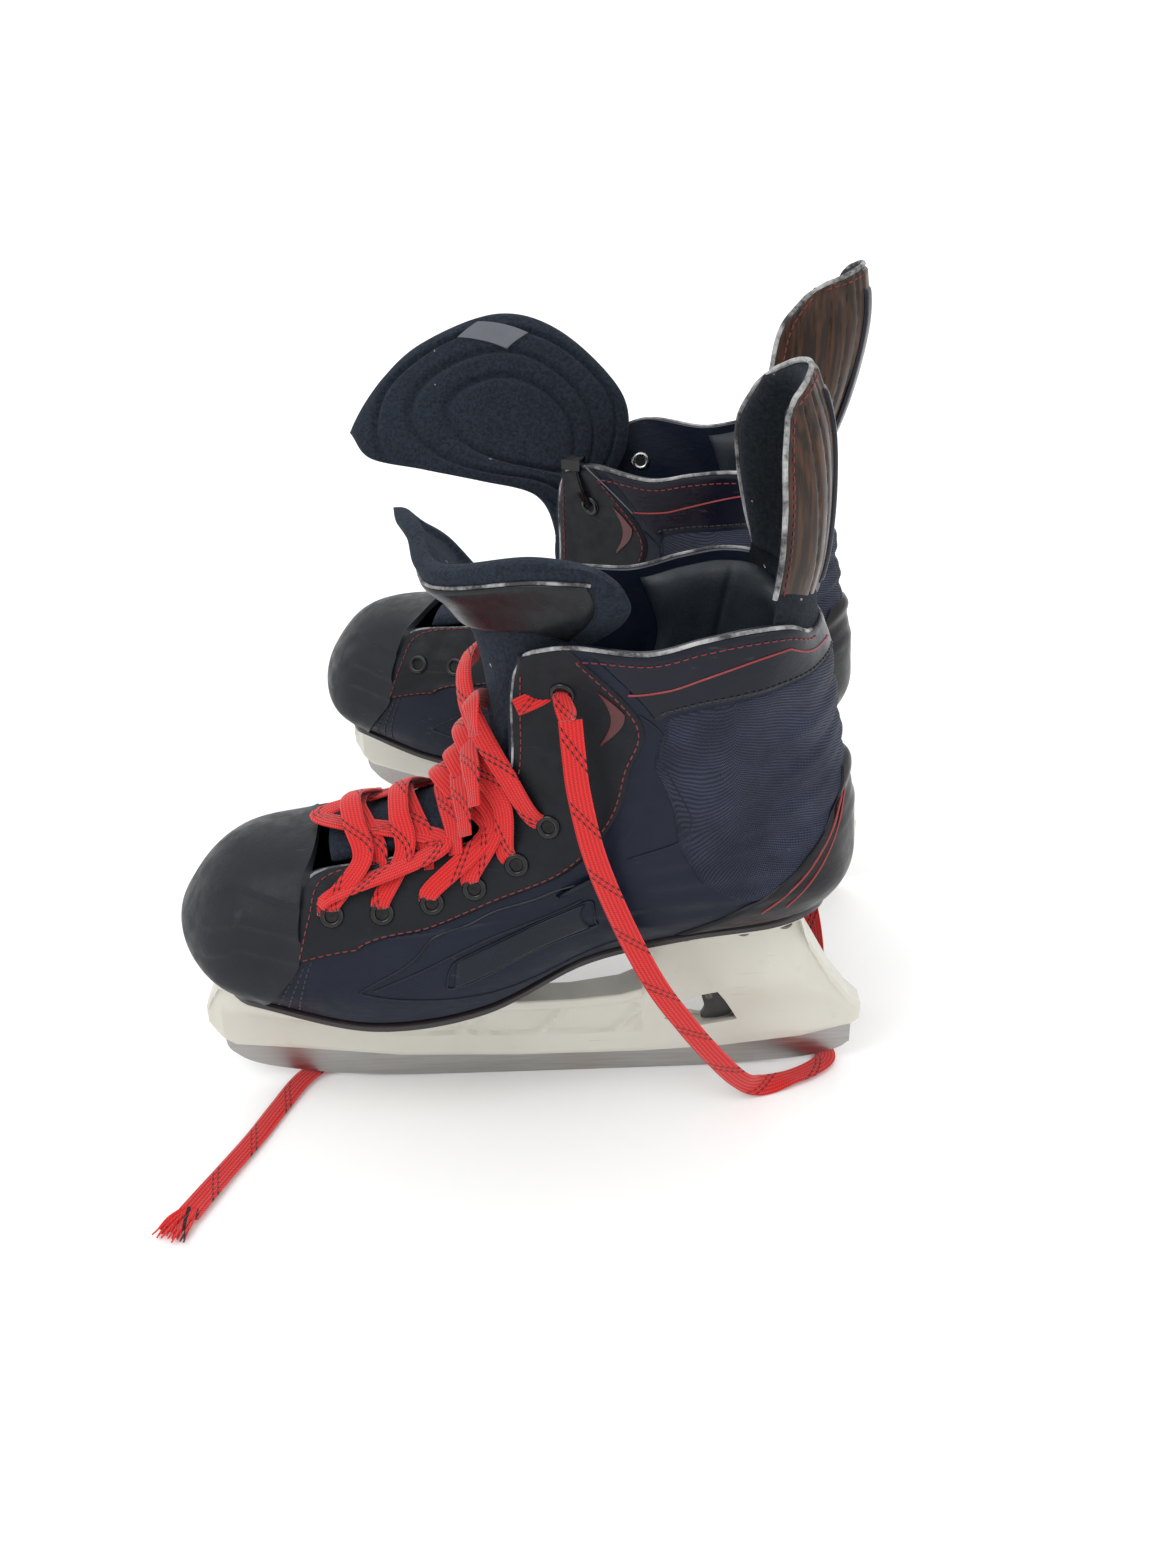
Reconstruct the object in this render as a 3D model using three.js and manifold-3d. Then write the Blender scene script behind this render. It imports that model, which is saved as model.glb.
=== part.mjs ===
// A pair of ice hockey skates: a laced left skate and an unlaced right skate standing behind it.
// Millimetres, +Z up. Each skate is drawn in its own frame: the ice is z = 0, the toe points to -X,
// the middle of the steel is x = 0, and the outer (lateral) side of the foot is -Y. The right skate
// is the mirror image, turned and set behind the left one.
import * as THREE from 'three';
import { mergeVertices } from 'three/addons/utils/BufferGeometryUtils.js';
import Module from 'manifold-3d';

const wasm = await Module();
wasm.setup();

// ---------------------------------------------------------------- driving dimensions
const steelLength = 280; // runner, nose to tail
const bootWidth = 88; // across the ankle flaps
const skateHeight = 316; // ice to the top of the tendon guard
const shellWall = 4; // quarter
const toeWall = 2.6; // toe cap
const soleThickness = 4; // outsole
const overlay = 1.4; // facing and heel counter, laid on the quarter
const facingLift = 1.2; // room under the facing for its stitching tape
const counterLift = 1.6; // room under the heel counter for its glue and padding
const gap = 0.3; // between touching pieces
const toeShift = 5; // how far the toe leans to the inner side
const runnerThickness = 3;
const runnerEmbed = 6; // steel held inside the holder
const slotClearance = 0.5;
const railHalf = 5.5; // half width of the holder's lower rail
const flangeThickness = 4;
const rivetRadius = 2;
const rivetHeadRadius = 3.4;
const rivetHeadHeight = 1.3;
const plateThickness = 0.9; // backing plate over the rivets, inside the boot
const pinRadius = 1.6;
const triggerHubRadius = 4.4;
const triggerHalf = 1.9; // half thickness of the trigger
const footbedThickness = 4;
const linerThickness = 5;
const guardWall = 3.4; // tendon guard
const tongueThickness = 8;
const tongueShellThickness = 1.6;
const laceDiameter = 3.6; // round stand-in for the flat lace
const pairOffset = [35.6, 203.4]; // right skate from left skate
const pairTurn = THREE.MathUtils.degToRad(-23.3);

// The outlines below are drawn for the 280 mm steel and stretched to the driving dimensions.
const stretch = new THREE.Vector3(steelLength / 280, bootWidth / 88, skateHeight / 316);

function smoothStep(t) {
  const c = THREE.MathUtils.clamp(t, 0, 1);
  return c * c * (3 - 2 * c);
}

// Boot points also follow the last: the toe leans inwards.
function bootPoint(x, y, z) {
  const lean = toeShift * smoothStep((-20 - x) / 125);
  return new THREE.Vector3(x * stretch.x, y * stretch.y + lean, z * stretch.z);
}

function framePoint(x, y, z) {
  return new THREE.Vector3(x * stretch.x, y * stretch.y, z * stretch.z);
}

// ---------------------------------------------------------------- surfaces and solids
function spline(a, b, c, d, t) {
  return 0.5 * (2 * b + (c - a) * t + (2 * a - 5 * b + 4 * c - d) * t * t
    + (3 * b - a - 3 * c + d) * t * t * t);
}

// Smooth value at s (0 to count - 1) of get(i), with straight run-outs past both ends.
function along(get, count, s) {
  const i = Math.min(Math.floor(s), count - 2);
  const first = get(i);
  const second = get(i + 1);
  const before = i > 0 ? get(i - 1) : mix(first, second, -1);
  const after = i + 2 < count ? get(i + 2) : mix(first, second, 2);
  return first.map((_, k) => spline(before[k], first[k], second[k], after[k], s - i));
}

function spread(start, end, count) {
  return Array.from({ length: count + 1 }, (_, k) => start + (end - start) * k / count);
}

function mix(a, b, t) {
  return a.map((value, k) => value + (b[k] - value) * t);
}

// A surface through a net of points. u runs along a row and v from row to row, both 0 to 1.
function netSurface(rows, place) {
  const at = (u, v) => {
    const onRow = (r) => along((c) => rows[r][c], rows[r].length, u * (rows[r].length - 1));
    return place(...along(onRow, rows.length, v * (rows.length - 1)));
  };
  const normal = (u, v) => {
    const step = 0.004;
    const [u0, u1] = [Math.max(u - step, 0), Math.min(u + step, 1)];
    const [v0, v1] = [Math.max(v - step, 0), Math.min(v + step, 1)];
    const du = at(u1, v).sub(at(u0, v));
    const dv = at(u, v1).sub(at(u, v0));
    return du.cross(dv).normalize();
  };
  return { at, normal };
}

function closedGeometry(points, triangles) {
  const geometry = new THREE.BufferGeometry();
  geometry.setAttribute('position', new THREE.Float32BufferAttribute(points.flatMap((p) => p.toArray()), 3));
  geometry.setIndex(triangles.flat());
  const merged = mergeVertices(geometry, 1e-4);
  const index = [];
  for (let i = 0; i < merged.index.count; i += 3) {
    const corner = [0, 1, 2].map((k) => merged.index.getX(i + k));
    if (new Set(corner).size === 3) index.push(corner);
  }
  const position = merged.attributes.position;
  const corners = (c) => c.map((k) => new THREE.Vector3().fromBufferAttribute(position, k));
  const volume = index.reduce((sum, c) => {
    const [p, q, r] = corners(c);
    return sum + p.dot(q.cross(r));
  }, 0);
  merged.setIndex((volume < 0 ? index.map(([p, q, r]) => [p, r, q]) : index).flat());
  return merged;
}

// Rings of points joined one to the next, with flat ends triangulated between mirrored ring points.
function loft(rings) {
  const count = rings[0].length;
  const triangles = [];
  for (let r = 0; r + 1 < rings.length; r += 1) {
    for (let k = 0; k < count; k += 1) {
      const next = (k + 1) % count;
      const [a, b] = [r * count + k, r * count + next];
      triangles.push([a, b, b + count], [a, b + count, a + count]);
    }
  }
  const last = (rings.length - 1) * count;
  for (let k = 0; k < count / 2 - 1; k += 1) {
    const [a, b, c, d] = [k, k + 1, count - 2 - k, count - 1 - k];
    triangles.push([a, c, b], [a, d, c]);
    triangles.push([last + a, last + b, last + c], [last + a, last + c, last + d]);
  }
  return closedGeometry(rings.flat(), triangles);
}

// A thin solid over a part of a surface, between two offsets from it. lines(v) lists its u values at
// each v of levels, and a side of -1 or 1 keeps it on that side of the middle plane.
function panel(surface, { lines, levels, outer, inner, side = 0 }) {
  const place = (u, v, offset) => {
    const p = surface.at(u, v).addScaledVector(surface.normal(u, v), offset);
    if (side) p.y = side * Math.max(side * p.y, gap / 2);
    return p;
  };
  return loft(levels.map((v) => {
    const u = lines(v);
    return [...u.map((s) => place(s, v, outer)), ...u.map((s) => place(s, v, inner)).reverse()];
  }));
}

function toManifold(geometry) {
  const bare = geometry.clone();
  bare.deleteAttribute('normal');
  bare.deleteAttribute('uv');
  const merged = mergeVertices(bare, 1e-4);
  return new wasm.Manifold(new wasm.Mesh({
    numProp: 3,
    vertProperties: Float32Array.from(merged.attributes.position.array),
    triVerts: Uint32Array.from(merged.index.array),
  }));
}

function fromManifold(solid) {
  const { vertProperties, triVerts } = solid.getMesh();
  const geometry = new THREE.BufferGeometry();
  geometry.setAttribute('position', new THREE.Float32BufferAttribute(vertProperties, 3));
  geometry.setIndex(Array.from(triVerts));
  return geometry;
}

function cut(body, tools) {
  return fromManifold(tools.reduce((solid, tool) => solid.subtract(toManifold(tool)), toManifold(body)));
}

function join(pieces) {
  const [first, ...rest] = pieces.map(toManifold);
  return fromManifold(rest.reduce((solid, piece) => solid.add(piece), first));
}

// A side-view outline, given as [x, z], made solid from y = -half to y = half.
function plate(outline, half) {
  const shape = new THREE.Shape(outline.map(([x, z]) => new THREE.Vector2(x, z)));
  const solid = new THREE.ExtrudeGeometry(shape, { depth: 2 * half, bevelEnabled: false });
  solid.translate(0, 0, -half);
  return solid.rotateX(Math.PI / 2);
}

function block(low, high) {
  const size = high.map((value, k) => value - low[k]);
  return new THREE.BoxGeometry(...size).translate(...low.map((value, k) => value + size[k] / 2));
}

// An upright six-sided post, turned so that no corner falls in line with a crease.
function post(x, y, low, high, radius) {
  return new THREE.CylinderGeometry(radius, radius, high - low, 6).rotateY(0.22)
    .rotateX(Math.PI / 2).translate(x, y, (low + high) / 2);
}

function crossPin(x, z, half, radius, sides = 12) {
  return new THREE.CylinderGeometry(radius, radius, 2 * half, sides).rotateY(0.17).translate(x, 0, z);
}

// ---------------------------------------------------------------- boot form
// Half of the boot's outer skin as rows of [x, half width, z]. Each row starts on the heel's middle
// line and ends on the front edge: the toe cap's seam low down, then the throat, then the ankle flap.
// The last but one point of each row is the lower edge of the facing.
const quarterRows = [
  [[124, 0, 95.5], [116.5, 17, 95], [98, 28, 93.5], [60, 31, 90], [20, 33, 81.5], [-22, 38, 61.5],
    [-68, 42, 56.5], [-113, 36, 63.5]],
  [[131, 0, 111], [121.5, 24, 109], [97, 35, 106], [60, 38, 100], [20, 38, 92], [-25, 43, 78],
    [-70, 46, 74], [-108, 42.5, 72]],
  [[131, 0, 126], [121, 25, 123], [97, 37, 118], [62, 41, 113], [22, 41, 106], [-25, 43, 98],
    [-70, 43.5, 95], [-98, 43, 88]],
  [[130, 0, 140], [119, 25, 136], [95, 37, 131], [64, 42, 125], [32, 41, 117], [-2, 40, 109],
    [-40, 40, 103], [-96, 38, 106]],
  [[127, 0, 155], [116, 24, 150], [93, 37, 144], [66, 42.5, 137], [39, 42, 129], [12, 40, 120],
    [-15, 38, 113], [-91, 28, 120.5]],
  [[124, 0, 168], [113.5, 24, 163], [92, 37, 157], [69, 43, 150], [49, 42.5, 142], [31, 41, 134],
    [14, 38.5, 127], [-60, 25, 126]],
  [[122, 0, 180], [111.5, 23.5, 176], [91, 37, 171], [72, 43, 166], [57, 43, 160], [44, 42, 155],
    [31, 40, 150], [-21, 25, 136]],
  [[120, 0, 193], [110, 24, 190], [90, 37.5, 187], [73, 43, 183], [60, 43.5, 180], [48, 42.5, 176],
    [37, 41, 172], [-10, 26, 164]],
  [[118, 0, 205], [108, 24, 204], [90, 39, 203], [75, 43.5, 201], [63, 44, 199], [52, 43.5, 196],
    [41, 42, 193], [-9, 28, 198]],
  [[113, 0, 219], [106, 24, 221], [96, 37, 228], [80, 43, 229], [63, 44, 226], [42, 43.5, 221],
    [14, 40, 223], [-5, 30, 216]],
];
const facingRow = 2; // row where the facing starts
const quarterLevels = quarterRows.map((_, r) => r / (quarterRows.length - 1));
const quarterColumns = [0, 0.5, 1, 1.5, 2, 3, 4, 5, 6, 6.5, 7];

// Half of the toe cap, from the middle line to the seam, one row for each seam row.
const toeRows = [
  [[-136, 0, 69], [-132, 17, 66], [-124, 29, 63.5]],
  [[-147, 0, 82], [-142, 20, 79], [-129, 36, 75]],
  [[-142.5, 0, 99], [-137, 20, 97], [-124, 35, 94]],
  [[-124, 0, 119], [-120, 17, 117], [-111, 29, 113]],
  [[-88, 0, 126], [-88, 10, 125.5], [-89, 20, 123.5]],
].map((row, r) => [...row, quarterRows[r][quarterRows[r].length - 1]]);

// Both halves of a row in one, from the outer side over the middle line to the inner side.
function bothSides(rows) {
  return rows.map((row) => [
    ...row.slice(1).reverse().map(([x, w, z]) => [x, -w, z]),
    ...row,
  ]);
}

const skin = netSurface(bothSides(quarterRows), bootPoint);
const toeSkin = netSurface(bothSides(toeRows), bootPoint);

// On the full skin u is 0 on the outer front edge, 0.5 on the heel and 1 on the inner front edge.
const columns = quarterRows[0].length - 1;
const column = (k, side) => 0.5 + side * k / (2 * columns);

// The point of the skin on one side that lies at x, z in side view.
function skinAt(x, z, side) {
  let best = { distance: Infinity };
  for (let k = 0; k <= 60; k += 1) {
    for (let j = 0; j <= 120; j += 1) {
      const u = column(5 + 2 * k / 60, side);
      const v = 0.15 + 0.85 * j / 120;
      const p = skin.at(u, v);
      const distance = Math.hypot(p.x - x * stretch.x, p.z - z * stretch.z);
      if (distance < best.distance) best = { distance, p, normal: skin.normal(u, v) };
    }
  }
  return best;
}

// Sole outline: half width and height along the boot, from the heel to the tip of the toe.
const soleLine = [...quarterRows[0], ...toeRows[0].slice(0, -1).reverse()];

function soleStation(s) {
  const [x, w, z] = along((k) => soleLine[k], soleLine.length, s * (soleLine.length - 1));
  return { x, w: Math.max(w, 0.4), z };
}

function soleAt(x) {
  let [low, high] = [0, 1];
  for (let k = 0; k < 40; k += 1) {
    const middle = (low + high) / 2;
    if (soleStation(middle).x > x) low = middle;
    else high = middle;
  }
  return soleStation(low);
}

// Heights in true millimetres.
const soleTop = (x) => soleAt(x).z * stretch.z - gap;
const soleUnder = (x) => soleTop(x) - soleThickness;

// A flat-lying slab under or over the sole: stations of x with a half width and two heights.
function soleSlab(stations, halfWidth, low, high, place = bootPoint) {
  return loft(stations.map((x) => {
    const edge = (side, height) => place(x, side * halfWidth(x), 0).setZ(height(x));
    return [edge(-1, high), edge(1, high), edge(1, low), edge(-1, low)];
  }));
}

// ---------------------------------------------------------------- holder and runner outlines
const holderUnder = [[-142, 33], [-138, 27], [-131, 22], [-104, 19], [-61, 13.5], [-8, 11.5],
  [45, 11.5], [80, 13], [116, 17], [138, 23], [142, 26]];
const steelUnder = [[-132, 14], [-122, 9], [-105, 5], [-84, 2], [-62, 0.5], [-30, 0], [30, 0],
  [60, 0.3], [90, 1.1], [116, 3], [132, 7], [138, 11]];

function lineAt(points, x) {
  const next = Math.max(1, points.findIndex((p) => p[0] >= x));
  const [a, b] = [points[next - 1], points[next]];
  return a[1] + (b[1] - a[1]) * (x - a[0]) / (b[0] - a[0]);
}

const steelTop = (x) => lineAt(holderUnder, x) * stretch.z + runnerEmbed;

// Holder stations: x, half width of the wall below the flange, half width of the flange, and the top,
// where a top of null follows the sole.
const holderStations = [
  [-142, 2.5, 3, 42], [-139, 3.5, 4.5, 50], [-135, 6, 8, 58], [-129, 9, 15, null], [-120, 12, 22, null],
  [-104, 15, 27, null], [-82, 17, 28, null], [-60, 17, 28, null], [-42, 15, 26, null], [-31, 11, 21, null],
  [-27, 8, 9, 53], [-20, 7, 7.5, 44], [-8, 6.5, 7, 41.5], [15, 6.5, 7, 42], [36, 7, 8, 44.5],
  [45, 7.5, 9, 48], [50, 8.5, 20, null], [58, 10, 23, null], [66, 11, 24.5, null], [80, 12, 25, null],
  [98, 12, 24, null], [110, 10, 18, null], [116, 8, 9, 71], [127, 6.5, 7, 51], [135, 6, 6.4, 40],
  [141, 4.6, 5, 34.5],
];
const rivetRows = {
  front: [[-110.4, 18.6], [-93, 21.6], [-71, 22.5], [-51, 21]],
  rear: [[62, 17.2], [86, 18.5], [103.5, 16]],
};
const triggerPivot = [74, 42.5];
const triggerWindow = [[55, 29.4], [71, 25.2], [87, 28.1], [80.6, 41], [77.4, 46.3], [70.6, 44.4],
  [60.6, 38.4]];
// Trigger's finger piece, as [x, z] from its pivot: hollowed in front, where the finger pulls.
const triggerFinger = [[-3.8, 0.8], [3.2, 3], [11, -13.2], [-1.8, -16.2], [-0.9, -11], [-2.2, -5]];
const triggerReach = 17; // slot behind the pivot, where the finger piece swings into
const steelPivot = [-134.5, 27];

function holderTop([x, , , top]) {
  return top === null ? soleUnder(x) - gap : top * stretch.z;
}

function holderRing(station) {
  const [x, wall, flange] = station;
  const low = lineAt(holderUnder, x) * stretch.z;
  const high = holderTop(station);
  const height = high - low;
  const deep = Math.min(flangeThickness, height * 0.3);
  const rail = Math.min(railHalf, wall);
  const half = [
    [rail * 0.8, low], [rail, low + height * 0.08], [rail, low + Math.min(14, height * 0.4)],
    [wall * 0.72 + rail * 0.28, low + height * 0.62], [wall, high - deep - 0.6], [flange - 0.4, high - deep],
    [flange, high - deep * 0.7], [flange, high], [flange * 0.3, high],
  ].map(([y, z]) => [y * stretch.y, z]);
  const ring = [...half, ...half.slice().reverse().map(([y, z]) => [-y, z])];
  return ring.map(([y, z]) => new THREE.Vector3(x * stretch.x, y, z));
}

const soleStations = [
  ...holderStations.filter(([, , , top]) => top === null).map(([x]) => x),
  124, 120, 116, 30, 10, -10, -134, -136,
].sort((a, b) => b - a);

function rivetSpots(end) {
  return rivetRows[end].flatMap(([x, y]) => [[x, y], [x, -y]]);
}

function rivetHoles() {
  return ['front', 'rear'].flatMap(rivetSpots).map(([x, y]) => post(
    x * stretch.x, y * stretch.y, soleUnder(x) - 20, soleTop(x) + 20, rivetRadius + gap));
}

function steelOutline() {
  const top = [138, 116, 80, 45, -8, -61, -104, -131].map((x) => [x * stretch.x, steelTop(x)]);
  const under = steelUnder.map(([x, rise]) => [x * stretch.x, rise * stretch.x]);
  const nose = [[-136 * stretch.x, steelTop(-131) - 2], [-136 * stretch.x, steelTop(-131) - 8]];
  return [...under, ...top, ...nose];
}

// The groove that the steel pulls down out of, a clearance larger all round.
function steelSlot() {
  const xs = [140, 116, 80, 45, -8, -61, -104, -131, -137.2];
  const top = xs.map((x) => [x * stretch.x, steelTop(Math.max(x, -131)) + slotClearance]);
  const floor = -20;
  return plate([[-137.2 * stretch.x, floor], [150 * stretch.x, floor],
    [150 * stretch.x, steelTop(138) + slotClearance], ...top], runnerThickness / 2 + slotClearance);
}

// ---------------------------------------------------------------- pieces of one skate
function makeHolder() {
  const body = loft(holderStations.map(holderRing));
  const [px, pz] = [triggerPivot[0] * stretch.x, triggerPivot[1] * stretch.z];
  const room = triggerHubRadius + 2.6;
  const slot = block([px - room, -triggerHalf - 1.5, pz - triggerReach - 0.8],
    [px + triggerReach, triggerHalf + 1.5, pz + room]);
  const window = plate(triggerWindow.map(([x, z]) => [x * stretch.x, z * stretch.z]), 60);
  const pinHole = crossPin(px, pz, 60, pinRadius + gap);
  return cut(body, [steelSlot(), slot, window, pinHole, ...rivetHoles()]);
}

function makeTrigger() {
  const [px, pz] = [triggerPivot[0] * stretch.x, triggerPivot[1] * stretch.z];
  const hub = crossPin(px, pz, triggerHalf, triggerHubRadius, 16);
  const fin = plate(triggerFinger.map(([x, z]) => [px + x, pz + z]), triggerHalf);
  return cut(join([hub, fin]), [crossPin(px, pz, 60, pinRadius + gap)]);
}

function makeRunner() {
  return plate(steelOutline(), runnerThickness / 2);
}

// A torsion spring's coil, drawn as the ring it fills, beside the trigger's hub.
function makeTriggerSpring() {
  const [inner, outer] = [pinRadius + gap, pinRadius + 1.6];
  const [low, high] = [triggerHalf + gap, triggerHalf + 1.2];
  const section = [[inner, low], [outer, low], [outer, high], [inner, high], [inner, low]];
  return new THREE.LatheGeometry(section.map(([r, y]) => new THREE.Vector2(r, y)), 12)
    .translate(triggerPivot[0] * stretch.x, 0, triggerPivot[1] * stretch.z);
}

function makeTriggerPin() {
  return crossPin(triggerPivot[0] * stretch.x, triggerPivot[1] * stretch.z, 8.5, pinRadius);
}

function makeRivets(end) {
  const xs = rivetRows[end].map(([x]) => x);
  const reach = Math.max(...rivetRows[end].map(([, y]) => y)) - 1;
  const [first, last] = [Math.min(...xs) - 2.7, Math.max(...xs) + 2.6];
  const stations = [last, ...soleStations.filter((x) => x > first && x < last), first];
  const plateUnder = (x) => lineAt(stations.map((s) => [s, soleTop(s)]).reverse(), x) + gap;
  const backing = soleSlab(stations, () => reach, plateUnder, (x) => plateUnder(x) + plateThickness,
    framePoint);
  const studs = rivetSpots(end).flatMap(([x, y]) => {
    const seat = Math.min(...[-4, 0, 4].map((d) => soleUnder(x + d))) - gap - flangeThickness - gap;
    const [px, py] = [x * stretch.x, y * stretch.y];
    return [
      post(px, py, seat - 0.9, plateUnder(x) + plateThickness / 2, rivetRadius),
      post(px, py, seat - 1.1 - rivetHeadHeight, seat - 0.6, rivetHeadRadius),
    ];
  });
  return join([backing, ...studs]);
}

function makeOutsole() {
  return cut(soleSlab(soleStations, (x) => soleAt(x).w, soleUnder, soleTop), rivetHoles());
}

function makeFootbed() {
  const lift = gap + plateThickness + 0.8;
  const width = (x) => Math.max(soleAt(x).w - shellWall - 3.5, 1);
  return soleSlab(spread(113, -122, 14), width, (x) => soleTop(x) + lift,
    (x) => soleTop(x) + lift + footbedThickness);
}

function makeQuarter(side) {
  return panel(skin, {
    lines: () => quarterColumns.map((k) => column(k, side)),
    levels: [0.01, ...quarterLevels.slice(1)], outer: 0, inner: -shellWall, side,
  });
}

function makeToeCap() {
  return panel(toeSkin, {
    lines: () => spread(0.045, 0.955, 10), levels: spread(0.03, 1, 6), outer: 0, inner: -toeWall,
  });
}

function makeFacing(side) {
  return panel(skin, {
    lines: () => [columns - 1, columns - 0.5, columns - 0.04].map((k) => column(k, side)),
    levels: quarterLevels.slice(facingRow), outer: facingLift + overlay, inner: facingLift,
  });
}

function makeHeelCounter() {
  const reach = (v) => 0.21 * (1 - v / 0.5) + 0.025;
  return panel(skin, {
    lines: (v) => spread(0.5 - reach(v), 0.5 + reach(v), 10),
    levels: spread(0.03, 0.45, 5), outer: counterLift + overlay, inner: counterLift,
  });
}

function makeCollarLiner() {
  const inset = -shellWall - 1.2;
  return panel(skin, {
    lines: () => spread(0.17, 0.83, 12), levels: spread(0.55, 0.97, 3),
    outer: inset, inner: inset - linerThickness,
  });
}

// Tendon guard, upright: rows from its root to its tip, from the middle line to the edge.
const guardRows = [
  [[111, 0, 227], [105, 19, 231], [93, 31, 238]],
  [[116, 0, 245], [110, 20, 248], [90, 31, 253]],
  [[119, 0, 270], [113, 20, 271], [88, 30.5, 272]],
  [[119, 0, 295], [113, 18, 294], [89, 28, 291]],
  [[114, 0, 316.5], [110, 14, 314], [99, 22, 308]],
];
const guardPivot = [112, 222];

function makeTendonGuard(lean) {
  const guard = panel(netSurface(bothSides(guardRows), framePoint), {
    lines: () => spread(0, 1, 8), levels: spread(0, 1, 6), outer: 0, inner: -guardWall,
  });
  const [px, pz] = [guardPivot[0] * stretch.x, guardPivot[1] * stretch.z];
  return guard.translate(-px, 0, -pz).rotateY(THREE.MathUtils.degToRad(lean)).translate(px, 0, pz);
}

// Lower tongue under the laces: middle point and half width of each row, on its underside.
const throatTongue = [
  [[-83, 0, 121], 19], [[-62, 0, 126.5], 20], [[-40, 0, 132], 20], [[-21, 0, 140], 19], [[-12.5, 0, 151], 18],
];
const tonguePivot = [-9, 158];
// Upper tongue, on the face towards the shin: rows from the bend to the tip, each from the outer wing
// to the inner wing. The left one is wrapped round the shin, and the right one is folded forwards.
const upperTongue = {
  left: [
    [[-6, -18, 160], [-10, -9, 161], [-11, 0, 161], [-10, 9, 161], [-6, 18, 160]],
    [[-1, -16, 184], [-7, -9, 185], [-9, 0, 185], [-8, 9, 185], [-4, 17, 184]],
    [[15, -17, 210], [-1, -13, 213], [-13, -1, 213], [-13, 12, 213], [-6, 20, 213]],
    [[36, -26, 231], [11, -28, 239], [-21, -9, 233], [-26, 17, 234], [-27, 35, 238]],
    [[35, -31, 244], [7, -34, 252], [-29, -10, 241], [-36, 19, 244], [-42, 40, 247]],
    [[27, -34, 253], [1, -35, 259], [-33, -9, 247], [-42, 20, 252], [-50, 40, 253]],
  ],
  right: [
    [[-6, -18, 160], [-10, -9, 161], [-11, 0, 161], [-10, 9, 161], [-6, 18, 160]],
    [[-2, -18, 185], [-8, -9, 185], [-9, 0, 185], [-9, 9, 184], [-7, 18, 182]],
    [[10, -22, 212], [-2, -12, 211], [-11, 0, 207], [-17, 10, 204], [-22, 20, 201]],
    [[5, -27, 240], [-13, -14, 236], [-28, 0, 226], [-39, 14, 216], [-50, 27, 207]],
    [[-28, -30, 267], [-43, -16, 258], [-57, 0, 241], [-68, 15, 225], [-79, 29, 210]],
    [[-61, -29, 274], [-75, -16, 264], [-88, 0, 247], [-98, 15, 230], [-107, 29, 213]],
    [[-94, -22, 260], [-103, -12, 256], [-111, 0, 246], [-118, 10, 234], [-122, 20, 222]],
  ],
};

function throatSurface() {
  return netSurface(throatTongue.map(([[x, y, z], half]) => [-1, -0.5, 0, 0.5, 1].map((share) => {
    const curl = 0.12 * half * share * share;
    return [x + curl, y + half * share, z - curl];
  })), bootPoint);
}

function makeTongueBase() {
  return panel(throatSurface(), {
    lines: () => spread(0, 1, 4), levels: spread(0, 1, 6), outer: 0, inner: -tongueThickness * 0.7,
  });
}

function makeUpperTongue(which) {
  return panel(netSurface(upperTongue[which], bootPoint), {
    lines: () => spread(0, 1, 6), levels: spread(0, 1, 9), outer: 0, inner: -tongueThickness,
  });
}

// Stiff panel on the tongue's front face.
function makeTongueShell(which) {
  const face = -tongueThickness - 2 * gap;
  return panel(netSurface(upperTongue[which], bootPoint), {
    lines: () => spread(1 / 6, 5 / 6, 4), levels: spread(5 / 9, 8 / 9, 3),
    outer: face, inner: face - tongueShellThickness,
  });
}

// ---------------------------------------------------------------- laces, left skate only
const eyelets = [[-81, 107], [-61, 108], [-41, 112], [-24, 118], [-7, 128], [6, 144], [12, 203]];
// Where a strand rounds the throat's edge beside each eyelet, as [x, half width, z].
const throatEdge = [[-80, 29.5, 128.5], [-61, 30, 131.5], [-42, 30, 136], [-30, 30, 143], [-26, 31, 152],
  [-22, 32, 166], [-21, 33, 197]];
// Where each strand crosses the middle, as [x, z], and how far the upper lace lies above the lower.
const middles = [[-72, 134], [-52, 139.5], [-35, 147], [-28, 155], [-23, 167], [-20, 184]];
const lifts = [[-2, 5], [-2, 5], [-3, 4.5], [-4, 4], [-5, 2], [-5.5, 0]];
const strandGap = 2.7; // half the distance between the two strands at an eyelet
const onTheIce = 5; // lace points lower than this lie on the ice, whatever the skate's height

function laceTube(points, steps, sides = 8) {
  const section = new THREE.Shape(spread(0, 2 * Math.PI, sides).slice(0, -1).map((angle) => (
    new THREE.Vector2(Math.cos(angle), Math.sin(angle)).multiplyScalar(laceDiameter / 2))));
  const path = new THREE.CatmullRomCurve3(points);
  return new THREE.ExtrudeGeometry(section, { steps, extrudePath: path, bevelEnabled: false });
}

function overFacing(k, side) {
  const { p, normal } = skinAt(...eyelets[k], side);
  return p.clone().addScaledVector(normal, 3 * gap + overlay + laceDiameter / 2 + 1);
}

function overEdge(k, side, shift) {
  const [x, w, z] = throatEdge[k];
  return bootPoint(x + shift, side * w, z);
}

// One side's climb from the lowest eyelet to the top one, crossing the middle at every strand.
function climb(startSide, above) {
  const points = [overEdge(0, startSide, -strandGap)];
  middles.forEach(([x, z], k) => {
    const side = k % 2 ? -startSide : startSide;
    const [dx, dz] = lifts[k].map((value) => value * above);
    points.push(overFacing(k, side), overEdge(k, side, strandGap), bootPoint(x + dx, 0, z + dz),
      overEdge(k + 1, -side, -strandGap));
  });
  points.push(overFacing(middles.length, startSide));
  return points;
}

// One lace: across the lowest pair, then criss-cross up both sides to the top eyelets.
function crossingPoints() {
  const bar = bootPoint(-86, 0, 131);
  return [...climb(-1, 1).reverse(), bar, ...climb(1, 0)];
}

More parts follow.
